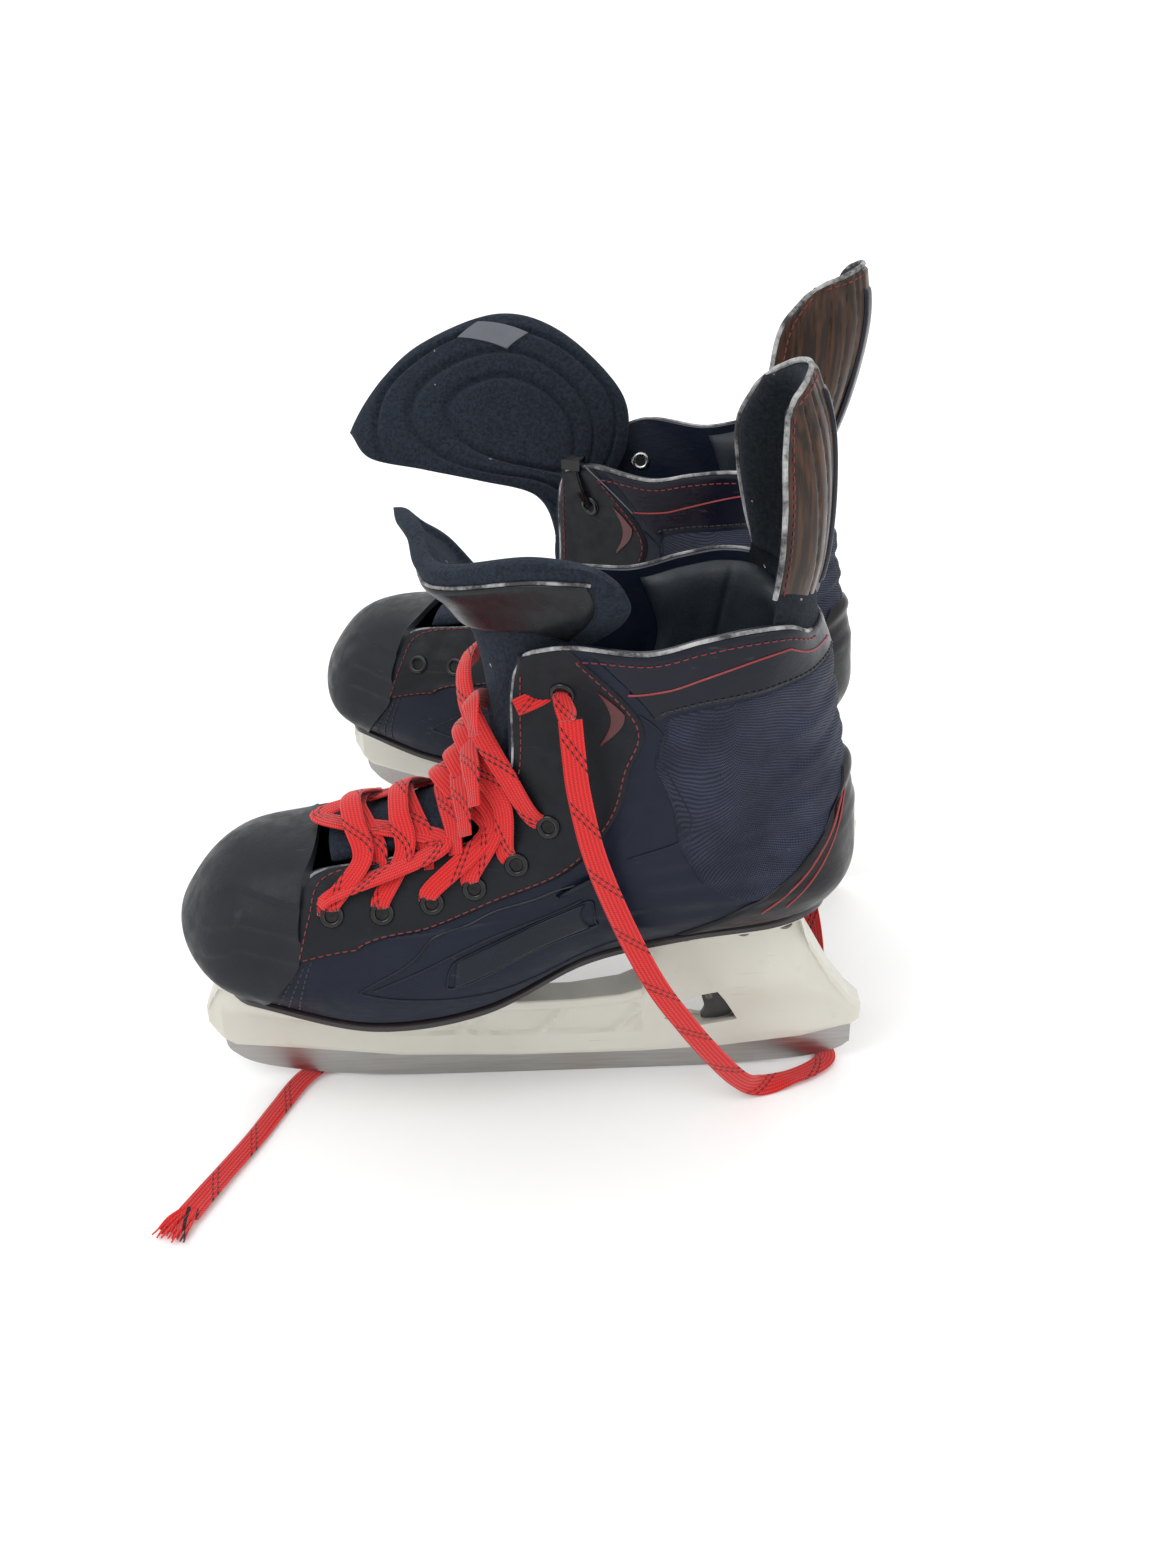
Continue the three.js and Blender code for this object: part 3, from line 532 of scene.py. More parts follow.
def thread_paint(name, colour):
    paint = Paint(name, Roughness=0.75, Sheen_Weight=0.2)
    paint.set("Base_Color", paint.mix(paint.noise(0.004, 3), [c * 0.55 for c in colour], colour))
    paint.bump(paint.noise(0.0004, 2, place=paint.stretch(1, 1, 3)), 0.0001, 0.8)
    return paint.material


def gloss_paint(name, colour, roughness=0.18, streak=(0.3, 0.2, 0.14), coat=0.6):
    """Moulded glossy plastic with fine brushed-in streaks of a warmer tint."""
    paint = Paint(name, Specular_IOR_Level=0.25, Coat_Weight=coat, Coat_Roughness=0.12)
    streaks = paint.ramp(paint.noise(0.006, 3, place=paint.stretch(2.6, 2.6, 0.22)), 0.42, 0.66)
    paint.set("Base_Color", paint.mix(streaks, colour, streak))
    paint.set_roughness(0.008, 5, roughness - 0.05, roughness + 0.1)
    paint.bump(paint.noise(0.003, 3), 0.0002, 0.25)
    return paint.material


def holder_paint():
    """Off-white nylon, slightly translucent, with grime in patches and fine scuffs."""
    paint = Paint("off_white_nylon", Subsurface_Weight=0.25, Subsurface_Scale=0.006, Coat_Weight=0.15)
    paint.set("Subsurface_Radius", (1.0, 0.85, 0.6))
    tone = paint.mix(paint.noise(0.05, 4), (0.50, 0.485, 0.42), (0.62, 0.61, 0.55))
    grime = paint.ramp(paint.noise(0.014, 8, 0.7), 0.6, 0.8, 0, 0.4)
    scuffs = paint.ramp(paint.noise(0.007, 3, place=paint.stretch(0.3, 1, 4, 0.15)), 0.70, 0.74, 0, 0.35)
    soiled = paint.mix(grime, tone, (0.36, 0.33, 0.27))
    paint.set("Base_Color", paint.mix(scuffs, soiled, (0.34, 0.33, 0.31)))
    paint.set_roughness(0.01, 6, 0.3, 0.5)
    paint.bump(paint.noise(0.0011, 3), 0.00008, 0.3)
    return paint.material


def steel_paint():
    """Ground stainless steel: grinding lines along it, and patches of a warmer tint painted in as a
    reflection of reddish-brown surroundings.
    """
    paint = Paint("ground_steel", Metallic=1.0, Anisotropic=0.5)
    grain = paint.noise(0.0006, 4, place=paint.stretch(0.03, 1, 1))
    tone = paint.mix(grain, (0.27, 0.265, 0.26), (0.5, 0.49, 0.475))
    # Patches of painted reddish-brown reflection mixed into the steel's colour.
    painted_reflection = paint.ramp(paint.noise(0.06, 2), 0.5, 0.75, 0, 0.45)
    paint.set("Base_Color", paint.mix(painted_reflection, tone, (0.38, 0.28, 0.22)))
    paint.set("Roughness", paint.ramp(grain, 0.3, 0.7, 0.3, 0.48))
    paint.bump(grain, 0.00005, 0.5)
    return paint.material


def metal_paint(name, colour, roughness):
    paint = Paint(name, Metallic=1.0)
    paint.set("Base_Color", paint.mix(paint.noise(0.003, 5), [c * 0.7 for c in colour], colour))
    paint.set_roughness(0.002, 5, roughness - 0.06, roughness + 0.12)
    paint.bump(paint.noise(0.0008, 3), 0.00004, 0.4)
    return paint.material


def plastic_paint(name, colour, roughness=0.4):
    paint = Paint(name)
    paint.set("Base_Color", paint.shades(paint.noise(0.01, 5), colour, 0.75, 1.2))
    paint.set_roughness(0.004, 5, roughness - 0.08, roughness + 0.1)
    paint.bump(paint.noise(0.0009, 3), 0.00008, 0.4)
    return paint.material


def lace_paint():
    """Flat red knit: ribs along it, stitches across, and pairs of slanted black tracer lines."""
    paint = Paint("red_knit", Roughness=0.78, Specular_IOR_Level=0.25, Sheen_Weight=0.25)
    along, across = paint.map_axes()
    rib = paint.math("SINE", paint.math("MULTIPLY", across, 2 * math.pi / 1.5))
    slant = paint.math("ADD", along, paint.math("MULTIPLY", paint.math("ABSOLUTE", across), 0.5))
    loop = paint.math("SINE", paint.math("MULTIPLY", slant, 2 * math.pi / 1.1))
    knit = paint.math("MULTIPLY", paint.ramp(rib, -1, 1, 0.35, 1), paint.ramp(loop, -1, 1, 0.55, 1))
    red = paint.mix(knit, (0.26, 0.004, 0.006), (0.78, 0.022, 0.02))
    course = paint.math("ADD", along, paint.math("MULTIPLY", across, 1.7))
    wrapped = paint.math("WRAP", course, 30.0)
    wrapped.node.inputs[2].default_value = 0.0
    first = paint.math("LESS_THAN", paint.math("ABSOLUTE", paint.math("SUBTRACT", wrapped, 9.0)), 0.75)
    second = paint.math("LESS_THAN", paint.math("ABSOLUTE", paint.math("SUBTRACT", wrapped, 13.0)), 0.75)
    dots = paint.math("GREATER_THAN", rib, -0.1)
    tracer = paint.math("MULTIPLY", paint.math("MAXIMUM", first, second), dots)
    paint.set("Base_Color", paint.mix(tracer, red, (0.02, 0.006, 0.006)))
    paint.bump(knit, 0.0004, 0.9)
    return paint.material


def floor_paint():
    paint = Paint("pale_floor", Roughness=0.8)
    paint.set("Base_Color", paint.mix(paint.noise(0.3, 3), (0.93, 0.93, 0.93), (0.96, 0.96, 0.96)))
    return paint.material


make_camera()
toe_black = leather_paint("toe_black", (0.012, 0.014, 0.018), 0.42, 0.0009, 0.3)
facing_black = leather_paint("facing_black", (0.007, 0.008, 0.011), 0.5, 0.0007, 0.2)
quarter_film = film_paint("navy_film", (0.005, 0.008, 0.018), 0.42)
band_film = film_paint("band_film", (0.004, 0.005, 0.011), 0.3, 0.1)
heel_film = film_paint("heel_film", (0.005, 0.005, 0.007), 0.34, 0.1)
panel_film = film_paint("panel_film", (0.004, 0.007, 0.013), 0.33, 0.1)
navy_mesh = weave_paint()
felt = felt_paint("navy_felt", (0.011, 0.015, 0.023))
guard_felt = felt_paint("black_felt", (0.008, 0.010, 0.012))
lining = lining_paint()
piping = piping_paint()
red_thread = thread_paint("red_thread", (0.22, 0.012, 0.016))
dark_thread = thread_paint("dark_thread", (0.012, 0.014, 0.02))
red_line = plastic_paint("dull_red", (0.22, 0.014, 0.016), 0.4)
dull_red = plastic_paint("triangle_red", (0.075, 0.009, 0.010), 0.3)
tinted = gloss_paint("tinted_plastic", (0.014, 0.007, 0.004), 0.3, (0.06, 0.025, 0.012), 0.08)
grey_gloss = gloss_paint("grey_gloss", (0.008, 0.009, 0.011), 0.3, (0.012, 0.013, 0.016), 0.0)
black_gloss = gloss_paint("black_gloss", (0.004, 0.004, 0.005), 0.15, (0.008, 0.008, 0.009), 0.25)
# Near-black rough paint for the plugs in the eyelet holes: painted shade of the holes' dark inside.
hole_shade = plastic_paint("painted_hole_shade", (0.004, 0.004, 0.005), 0.8)
sole_black = plastic_paint("sole_black", (0.02, 0.015, 0.017), 0.4)
nylon = holder_paint()
steel = steel_paint()
rivet_metal = metal_paint("rivet_metal", (0.2, 0.18, 0.16), 0.4)
silver = metal_paint("silver_eyelet", (0.7, 0.7, 0.7), 0.22)
trigger_grey = plastic_paint("trigger_grey", (0.035, 0.036, 0.036), 0.42)
label_grey = plastic_paint("label_cloth", (0.09, 0.1, 0.115), 0.6)
red_knit = lace_paint()


# ---------------------------------------------------------------- laces
OUTER_TAIL = [[14, -48.5, 198], [15, -51, 186], [17, -52, 168], [23, -52, 140], [34, -50, 108],
              [47, -47, 78], [60, -42, 54], [73, -36, 32], [86, -29, 13], [97, -21, 3.5], [110, -15, 2.1],
              [121, -9, 2.1], [128, -1, 2.1], [126, 9, 2.1], [116, 17, 2.1], [98, 21, 2.1], [75, 21, 2.1],
              [50, 19, 2.1], [25, 19, 2.1], [0, 21, 2.1], [-25, 22, 2.1]]
INNER_TAIL = [[16, 48.5, 198], [24, 52, 182], [40, 55, 162], [62, 56, 140], [86, 54, 116],
              [106, 50, 92], [120, 46, 66], [128, 42, 40], [130, 38, 16], [126, 34, 4], [114, 31, 2.1],
              [92, 31, 2.1], [66, 30, 2.1], [38, 30, 2.1], [10, 31, 2.1], [-20, 32, 2.1], [-48, 30, 2.1],
              [-72, 22, 2.1], [-90, 10, 2.1], [-103, -3, 2.1], [-112, -22, 2.1], [-121, -44, 2.1],
              [-131, -66, 2.1], [-142, -90, 2.1]]
OUT, IN, UP = (0, -1, 0.1), (0, 1, 0.1), (0, 0, 1)
EYELETS = [[-81, 107], [-61, 108], [-41, 112], [-24, 118], [-7, 128], [6, 144], [12, 203]]


def ribbon(points, facing, width=LACE_WIDTH, thickness=LACE_THICKNESS, start=0.0, wave=0.0):
    """A flat lace along points, its flat side turned to facing, one direction for each point."""
    rough = np.array(points, float)
    path = smooth_line(rough, 1.6)
    knots = np.concatenate([[0], np.cumsum(np.linalg.norm(np.diff(rough, axis=0), axis=1))])
    arc = np.concatenate([[0], np.cumsum(np.linalg.norm(np.diff(path, axis=0), axis=1))])
    share = arc / arc[-1] * knots[-1]
    facing = np.array(facing, float)
    up = np.column_stack([np.interp(share, knots, facing[:, k]) for k in range(3)])
    tangent = np.gradient(path, axis=0)
    tangent /= np.linalg.norm(tangent, axis=1, keepdims=True)
    side = np.cross(tangent, up)
    side /= np.linalg.norm(side, axis=1, keepdims=True)
    up = np.cross(side, tangent)
    half = np.interp(share, knots, np.broadcast_to(width, len(knots))) / 2
    across = np.linspace(-1, 1, 13)
    ribs = 0.13 * np.cos(across * 18.8)
    crown = thickness / 2 * (np.sqrt(np.clip(1 - np.abs(across) ** 6, 0.06, 1)) + ribs)
    across = np.concatenate([across, across[::-1]])
    height = np.concatenate([crown, -crown[::-1]])
    bow = wave * np.sin(arc / 17.0)[:, None] * (across ** 2)[None]
    rings = (path[:, None] + side[:, None] * (half[:, None] * across)[..., None]
             + up[:, None] * (height[None] + bow)[..., None])
    verts, faces = loft(list(rings))
    uv = np.stack([np.broadcast_to((arc + start)[:, None], (len(arc), 26)),
                   np.broadcast_to(across * LACE_WIDTH / 2, (len(arc), 26))], -1).reshape(-1, 2)
    return verts, faces, uv, path


def add_tail(name, points, facing, width):
    verts, faces, uv, path = ribbon(points, facing, width, wave=0.5)
    piece = add_piece(name, verts, faces, red_knit, "left", "boot", "lace", uv, 50, [name])
    route = to_row("left", path)
    length = float(np.linalg.norm(np.diff(route, axis=0), axis=1).sum())
    return length


def make_frayed_end(tip, back):
    """Loose threads where the medial end was cut: two lobes that spread from the knit."""
    tip, back = np.array(tip, float), np.array(back, float)
    ahead = (tip - back) / np.linalg.norm(tip - back)
    side = np.cross(ahead, UP)
    parts = []
    for k in range(46):
        lobe = -1 if k % 2 else 1
        spread = lobe * random.uniform(0.15, 1.0)
        reach = random.uniform(9, 15)
        start = tip - ahead * 6 + side * spread * 3.4
        middle = tip + ahead * reach * 0.4 + side * spread * 5.2
        end = tip + ahead * reach + side * (spread * 6.5 + random.uniform(-1.2, 1.2))
        line = smooth_line([start, middle + np.array([0, 0, random.uniform(0, 2.4)]),
                            end + np.array([0, 0, random.uniform(-1.2, 1.8)])], 1.5)
        line[:, 2] = np.maximum(line[:, 2], 0.6)
        parts.append(tube(line, np.linspace(0.6, 0.34, len(line)), 5))
    verts, faces = merged(parts)
    uv = np.column_stack([verts[:, 0], np.full(len(verts), 0.4)])
    return add_piece("lace_frayed_end", verts, faces, red_knit, "left", "boot", "lace", uv)


def make_tails():
    outer_facing = [OUT] * 9 + [(-0.2, -0.7, 0.7)] + [UP] * 11
    inner_facing = [IN] * 7 + [(0.7, 0.7, 0.1), (0.9, 0.3, 0.2), (0.6, 0.2, 0.8)] + [UP] * 14
    frayed = make_frayed_end(INNER_TAIL[-1], INNER_TAIL[-2])
    outer = add_tail("lace_tail_outer", OUTER_TAIL, outer_facing, LACE_WIDTH)
    inner = add_tail("lace_tail_inner", INNER_TAIL, inner_facing,
                     [LACE_WIDTH] * (len(INNER_TAIL) - 1) + [LACE_WIDTH * 1.15])
    print(f"lace ends: outer {outer:.3f} m, inner {inner:.3f} m")


make_tails()


# ---------------------------------------------------------------- boot
def folds(c, r):
    """Soft folds across the heel and ankle, in millimetres of lift."""
    k = np.abs(c - HEEL)
    back = smooth((3.4 - k) / 2.4) * smooth((r - 2.4) / 1.2) * smooth((8.0 - r) / 0.8)
    wave = np.sin(r * 5.1 + 0.5 * np.sin(k * 1.9)) + 0.4 * np.sin(r * 11.3 + k * 2.2 + 1)
    low = smooth((4.6 - k) / 1.2) * smooth((k - 1.2) / 1.0)
    low = low * smooth((r - 0.8) / 0.8) * smooth((4.6 - r) / 1.2)
    creases = np.sin(r * 7.3 - k * 1.7 + 1.3 * np.sin(k * 1.35))
    return 0.75 * back * wave + 0.45 * low * creases


def make_quarter(which, side_name):
    side = SIDES[side_name]
    c = HEEL + side * np.linspace(0.004, 7.0, 120)
    r = np.linspace(0.09, 9, 96)
    cc, rr = np.meshgrid(c, r)
    outer = skin.lifted(cc, rr, folds(cc, rr))
    inner = skin.lifted(cc, rr, -SHELL_WALL)
    for wall in (outer, inner):
        wall[..., 1] = side * np.maximum(side * wall[..., 1], 0.1)
    add_sheet(f"quarter_{side_name}", outer, inner, quarter_film, which, "boot", "quarter",
              replaces=[f"quarter_{side_name}"])


def overlay(name, material, which, slot, c, r, lift, thin=0.25, edge=(0.03, 0.03), replaces=(), body="boot"):
    """A thin layer on the boot's skin over grids of columns c and rows r, rounded down at its rim."""
    rounded = rim_profile(c.shape, *edge)
    outer = skin.lifted(c, r, folds(c, r) + thin + (lift - thin) * rounded)
    inner = skin.lifted(c, r, -0.5)
    return add_sheet(name, outer, inner, material, which, body, slot, replaces=replaces)


def between(top, bottom, side, counts=(60, 30)):
    """Columns and rows of a patch between two lines of [column, row] spots on one side."""
    a, b = smooth_line(top, 0.01), smooth_line(bottom, 0.01)
    pick = lambda line: np.array([line[round(s)] for s in np.linspace(0, len(line) - 1, counts[0])])
    t = np.linspace(0, 1, counts[1])[:, None]
    a, b = pick(a)[None], pick(b)[None]
    grid = b + (a - b) * t[..., None]
    return HEEL + side * grid[..., 0], grid[..., 1]


def stitch_row(name, paths, material, which, body="boot", **sizes):
    return add_piece(name, *merged([stitches(p, n, **sizes) for p, n in paths]), material, which, body,
                     "facing")


def bead_piece(name, paths, radius, material, which, slot, body="boot", sides=8):
    return add_piece(name, *merged([tube(path, radius, sides) for path in paths]), material, which, body,
                     slot)


def make_toe(which):
    c, r = grid((-0.12, 6.12, 150), (0.05, 4, 90))
    p = toe_skin.at(c, r)
    flank = smooth((p[..., 0] + 140) / 16) * smooth((np.abs(c - 3) - 0.9) / 0.7)
    steps = 0
    for front, back, drop in ((107, 113, 0.9), (95, 101, 1.0), (85, 91, 0.9)):
        line = front + (back - front) * smooth((p[..., 0] + 134) / 16)
        line = line - 2.5 * smooth((p[..., 0] + 118) / 22)
        below = line - p[..., 2]
        steps = steps - drop * smooth(below / 1.8) * (1 - smooth((below - 2.5) / 9)) * flank
    outer = toe_skin.lifted(c, r, 1.4 + steps)
    inner = toe_skin.lifted(c, r, -1.6)
    add_sheet("toe_cap", outer, inner, toe_black, which, "boot", "toe_plastic", replaces=["toe_cap"])


def make_overlays(which):
    for side_name, side in SIDES.items():
        cols = np.linspace(6.0, 6.96, 30)
        rows = np.linspace(1.95, 8.98, 150)
        kk, rr = np.meshgrid(cols, rows)
        overlay(f"facing_{side_name}", facing_black, which, "facing", HEEL + side * kk, rr, 1.5,
                edge=(0.1, 0.012), replaces=[f"facing_{side_name}"])
        kk, rr = grid((0.002, 5.75, 130), (8.05, 8.97, 24))
        overlay(f"collar_band_{side_name}", band_film, which, "quarter", HEEL + side * kk, rr, 0.8,
                edge=(0.004, 0.08))
        top = [[0.002, 7.98], [3, 7.98], [5.2, 7.95], [5.75, 7.6]]
        middle = [spot(60, 153), spot(62, 146), spot(60, 139)]
        low = [[0.002, 4.3], spot(116, 133), spot(104, 118), spot(88, 110), spot(66, 121), spot(59, 140)]
        c, r = between(top, [*low[:-1], middle[1]], side, (110, 80))
        overlay(f"mesh_panel_{side_name}", navy_mesh, which, "quarter", c, r, 0.45, 0.1, (0.01, 0.015))
        outline = [spot(40, 196), spot(48, 181), spot(59, 156), spot(60, 147), spot(54, 140), spot(36, 133)]
        bead_piece(f"ankle_outline_{side_name}", [on_skin(outline, side, 0.2)[0]], 0.4, panel_film,
                   which, "quarter")
        wedge = [[spot(-72, 75), spot(-45, 95), spot(-14, 110), spot(16, 121)],
                 [spot(-72, 75), spot(-60, 72), spot(-44, 70), spot(-23, 70), spot(9, 80), spot(36, 93)],
                 [spot(-66, 76), spot(-40, 88), spot(-8, 103), spot(18, 114)]]
        bead_piece(f"side_wedge_{side_name}", [on_skin(line, side, 0.0)[0] for line in wedge],
                   0.6, panel_film, which, "quarter")
        top = [spot(-32, 89), spot(-8, 101), spot(20, 113.5)]
        low = [spot(-34, 76), spot(-8, 88), spot(22, 101)]
        c, r = between(top, low, side, (60, 24))
        overlay(f"side_panel_{side_name}", panel_film, which, "quarter", c, r, 1.3, 0.2, (0.05, 0.12))
        border = [*top, spot(23, 110), spot(23.5, 104), *low[::-1], spot(-36, 81), spot(-34, 87), top[0]]
        bead_piece(f"side_panel_border_{side_name}", [on_skin(border, side, 0.3, 1.0)[0]], 0.45,
                   panel_film, which, "quarter")
    reach = lambda v: 14 * (0.21 * (1 - v / 0.5) + 0.02)
    v = np.linspace(0.02, 0.47, 60)[:, None]
    c = HEEL + reach(v) * np.linspace(-1, 1, 130)[None]
    overlay("heel_counter", heel_film, which, "counter", c, np.broadcast_to(9 * v, c.shape), 1.5, 0.3,
            (0.02, 0.03), ["heel_counter"])
    stripes = []
    for share in (0.72, 0.84):
        rows = np.linspace(0.1, 0.42, 14)
        for side in (-1, 1):
            stripes.append(on_skin([[share * reach(x), 9 * x] for x in rows], side, 1.5)[0])
    bead_piece("heel_stripes", stripes, 0.45, red_line, which, "counter")


def make_trim(which):
    """Piping on the throat and collar, stitching, the collar's red line and the flap's triangle."""
    pipes, red, dark, lines = [], [], [], []
    for side in (-1, 1):
        front = [[6.97, r] for r in np.linspace(3.9, 8.6, 14)]
        corner = [[6.9, 8.93], [6.75, 9.0]]
        top = [[k, 9.0] for k in np.linspace(6.4, 0.9, 16)]
        pipes.append(on_skin(front + corner + top, side, -0.6)[0])
        red.append(on_skin([[6.06, r] for r in np.linspace(2.05, 8.9, 30)], side, 1.5, 0.5))
        red.append(on_skin([[6.9, r] for r in np.linspace(2.05, 8.7, 30)], side, 1.5, 0.5))
        red.append(on_skin([[k, 2.02] for k in (6.04, 6.5, 6.92)], side, 1.5, 0.5))
        red.append(on_skin([[k, 8.84] for k in np.linspace(6.88, 0.8, 20)], side, 0.95, 0.5))
        for k in (6.86, 6.76, 6.66):
            dark.append(on_skin([[k, r] for r in np.linspace(0.15, 1.9, 8)], side, 0.1, 0.5))
        dark.append(on_skin([[k, 8.12] for k in np.linspace(5.5, 0.1, 20)], side, 0.95, 0.5))
        lines.append(side_line([(36, 205), (62, 211), (96, 219.5)], side, 1.0)[0])
        lines.append(on_skin([spot(96, 219.5), [1.0, 8.55], [0.3, 8.45]], side, 1.0)[0])
    bead_piece("piping", pipes, 0.85, piping, which, "facing")
    stitch_row("red_stitching", red, red_thread, which)
    stitch_row("dark_stitching", dark, dark_thread, which, length=2.0, pitch=2.9, radius=0.3)
    bead_piece("collar_line", lines, 0.42, red_line, which, "facing", sides=6)
    for side_name, side in SIDES.items():
        c, r = between([spot(25, 206), spot(30, 202), spot(35, 197)],
                       [spot(26.2, 183), spot(26.6, 182), spot(27, 183)], side, (16, 16))
        outer, inner = skin.lifted(c, r, 2.0), skin.lifted(c, r, 1.0)
        add_sheet(f"flap_triangle_{side_name}", outer, inner, dull_red, which, "boot", "facing")


def ring_profile(inner, outer, height):
    """A rounded washer's section."""
    middle, half = (inner + outer) / 2, (outer - inner) / 2
    return [(middle + half * math.cos(a), height * math.sin(a)) for a in np.linspace(0, 2 * math.pi, 13)[:-1]]


def make_eyelets(which):
    outside, holes, inside = [], [], []
    for side in (-1, 1):
        for x, z in EYELETS:
            k, r = spot(x, z)
            c = HEEL + side * k
            p, n = skin.lifted(c, r, 1.7), skin.normal(c, r)
            outside.append(lathe(ring_profile(2.5, 5.0, 1.15), p, n))
            # A near-black plug filling each eyelet's hole: painted shade standing in for the hole's dark
            # inside.
            holes.append(lathe([(2.9, -6.4), (2.9, 0.2), (0.02, -0.35), (0.02, -6.4)], p, n))
            inside.append(lathe(ring_profile(2.4, 4.6, 0.9), skin.lifted(c, r, -SHELL_WALL - 0.4), n))
    for name, parts, material in (("eyelets", outside, black_gloss), ("eyelet_holes", holes, hole_shade),
                                  ("eyelet_backs", inside, silver)):
        add_piece(name, *merged(parts), material, which, "boot", "facing")


def make_lining(which):
    """Padded collar lining on both sides of the ankle, and the footbed."""
    c, r = grid((HEEL - 4.9, HEEL + 4.9, 150), (4.6, 8.86, 60))
    round_edge = rim_profile(c.shape, 0.06, 0.1)
    quilt = 0.8 * np.exp(-((np.abs(c - HEEL) - 2.6) / 0.12) ** 2) + 0.8 * np.exp(-((r - 6.1) / 0.1) ** 2)
    outer = skin.lifted(c, r, -SHELL_WALL - 0.3)
    inner = skin.lifted(c, r, -SHELL_WALL - 1.0 - (4.8 - quilt) * round_edge)
    add_sheet("collar_liner", outer, inner, lining, which, "boot", "liner", replaces=["collar_liner"])
    stations = np.linspace(113, -122, 60)
    across = np.linspace(-1, 1, 24)
    top, under = [], []
    for x in stations:
        edge, height = sole_at(x)
        width = max(edge - SHELL_WALL - 3.5, 1) * (1 - 0.06 * smooth((abs(x + 5) - 100) / 20))
        y = across * width
        raised = 1.4 * np.abs(across) ** 4
        base = height + 2.6
        top.append(boot_place(np.column_stack([np.full(24, x), y, base + 3.4 + raised])))
        under.append(boot_place(np.column_stack([np.full(24, x), y, np.full(24, base)])))
    add_sheet("footbed", np.array(top), np.array(under), felt, which, "boot", "liner", replaces=["footbed"])


SOLE = np.array([*QUARTER[0], *TOE[0][:-1][::-1]], float)


def sole_at(x):
    """Half width and height of the sole's edge at x."""
    t = np.linspace(0, len(SOLE) - 1, 900)
    padded_line = padded(SOLE, 0)
    i = np.clip(np.floor(t), 0, len(SOLE) - 2).astype(int)
    w = spline_weights(t - i)
    line = sum(w[a][:, None] * padded_line[i + a] for a in range(4))[::-1]
    return max(float(np.interp(x, line[:, 0], line[:, 1])), 0.4), float(np.interp(x, line[:, 0], line[:, 2]))


def make_outsole(which):
    rings = []
    heel_end, toe_end = np.linspace(123.6, 118, 6), np.linspace(-130, -135.8, 6)
    for x in np.concatenate([heel_end, np.linspace(116, -128, 90), toe_end]):
        width, top = sole_at(x)
        top -= 0.3
        deep = 4.0
        section = [(-0.97, 0), (-0.5, 0.2), (0.5, 0.2), (0.97, 0), (1, -0.8), (1, -deep + 1.2), (0.93, -deep),
                   (0.5, -deep), (-0.5, -deep), (-0.93, -deep), (-1, -deep + 1.2), (-1, -0.8)]
        ring = np.array([[x, s * (width + 0.4), top + z] for s, z in section])
        rings.append(boot_place(ring))
    add_piece("outsole", *loft(rings), sole_black, which, "boot", "sole", replaces=["outsole"])


# ---------------------------------------------------------------- tongue and tendon guard
THROAT = [[[-83, 0, 121], 19], [[-62, 0, 126.5], 20], [[-40, 0, 132], 20], [[-21, 0, 140], 19],
          [[-12.5, 0, 151], 18]]
# Upper tongue, on the face towards the shin: rows from the bend to the tip, outer wing to inner wing.
UPPER_TONGUE = {
    "left": [
        [[-6, -18, 160], [-10, -9, 161], [-11, 0, 161], [-10, 9, 161], [-6, 18, 160]],
        [[-1, -16, 184], [-7, -9, 185], [-9, 0, 185], [-8, 9, 185], [-4, 17, 184]],
        [[15, -17, 210], [-1, -13, 213], [-13, -1, 213], [-13, 12, 213], [-6, 20, 213]],
        [[36, -26, 231], [11, -28, 239], [-21, -9, 233], [-26, 17, 234], [-27, 35, 238]],
        [[35, -31, 244], [7, -34, 252], [-29, -10, 241], [-36, 19, 244], [-42, 40, 247]],
        [[27, -34, 253], [1, -35, 259], [-33, -9, 247], [-42, 20, 252], [-50, 40, 253]],
    ],
    "right": [
        [[-6, -18, 160], [-10, -9, 161], [-11, 0, 161], [-10, 9, 161], [-6, 18, 160]],
        [[-2, -18, 185], [-8, -9, 185], [-9, 0, 185], [-9, 9, 184], [-7, 18, 182]],
        [[10, -22, 212], [-2, -12, 211], [-11, 0, 207], [-17, 10, 204], [-22, 20, 201]],
        [[5, -27, 240], [-13, -14, 236], [-28, 0, 226], [-39, 14, 216], [-50, 27, 207]],
        [[-28, -30, 267], [-43, -16, 258], [-57, 0, 241], [-68, 15, 225], [-79, 29, 210]],
        [[-61, -29, 274], [-75, -16, 264], [-88, 0, 247], [-98, 15, 230], [-107, 29, 213]],
        [[-94, -22, 260], [-103, -12, 256], [-111, 0, 246], [-118, 10, 234], [-122, 20, 222]],
    ],
}
TONGUE_THICKNESS = 8.0


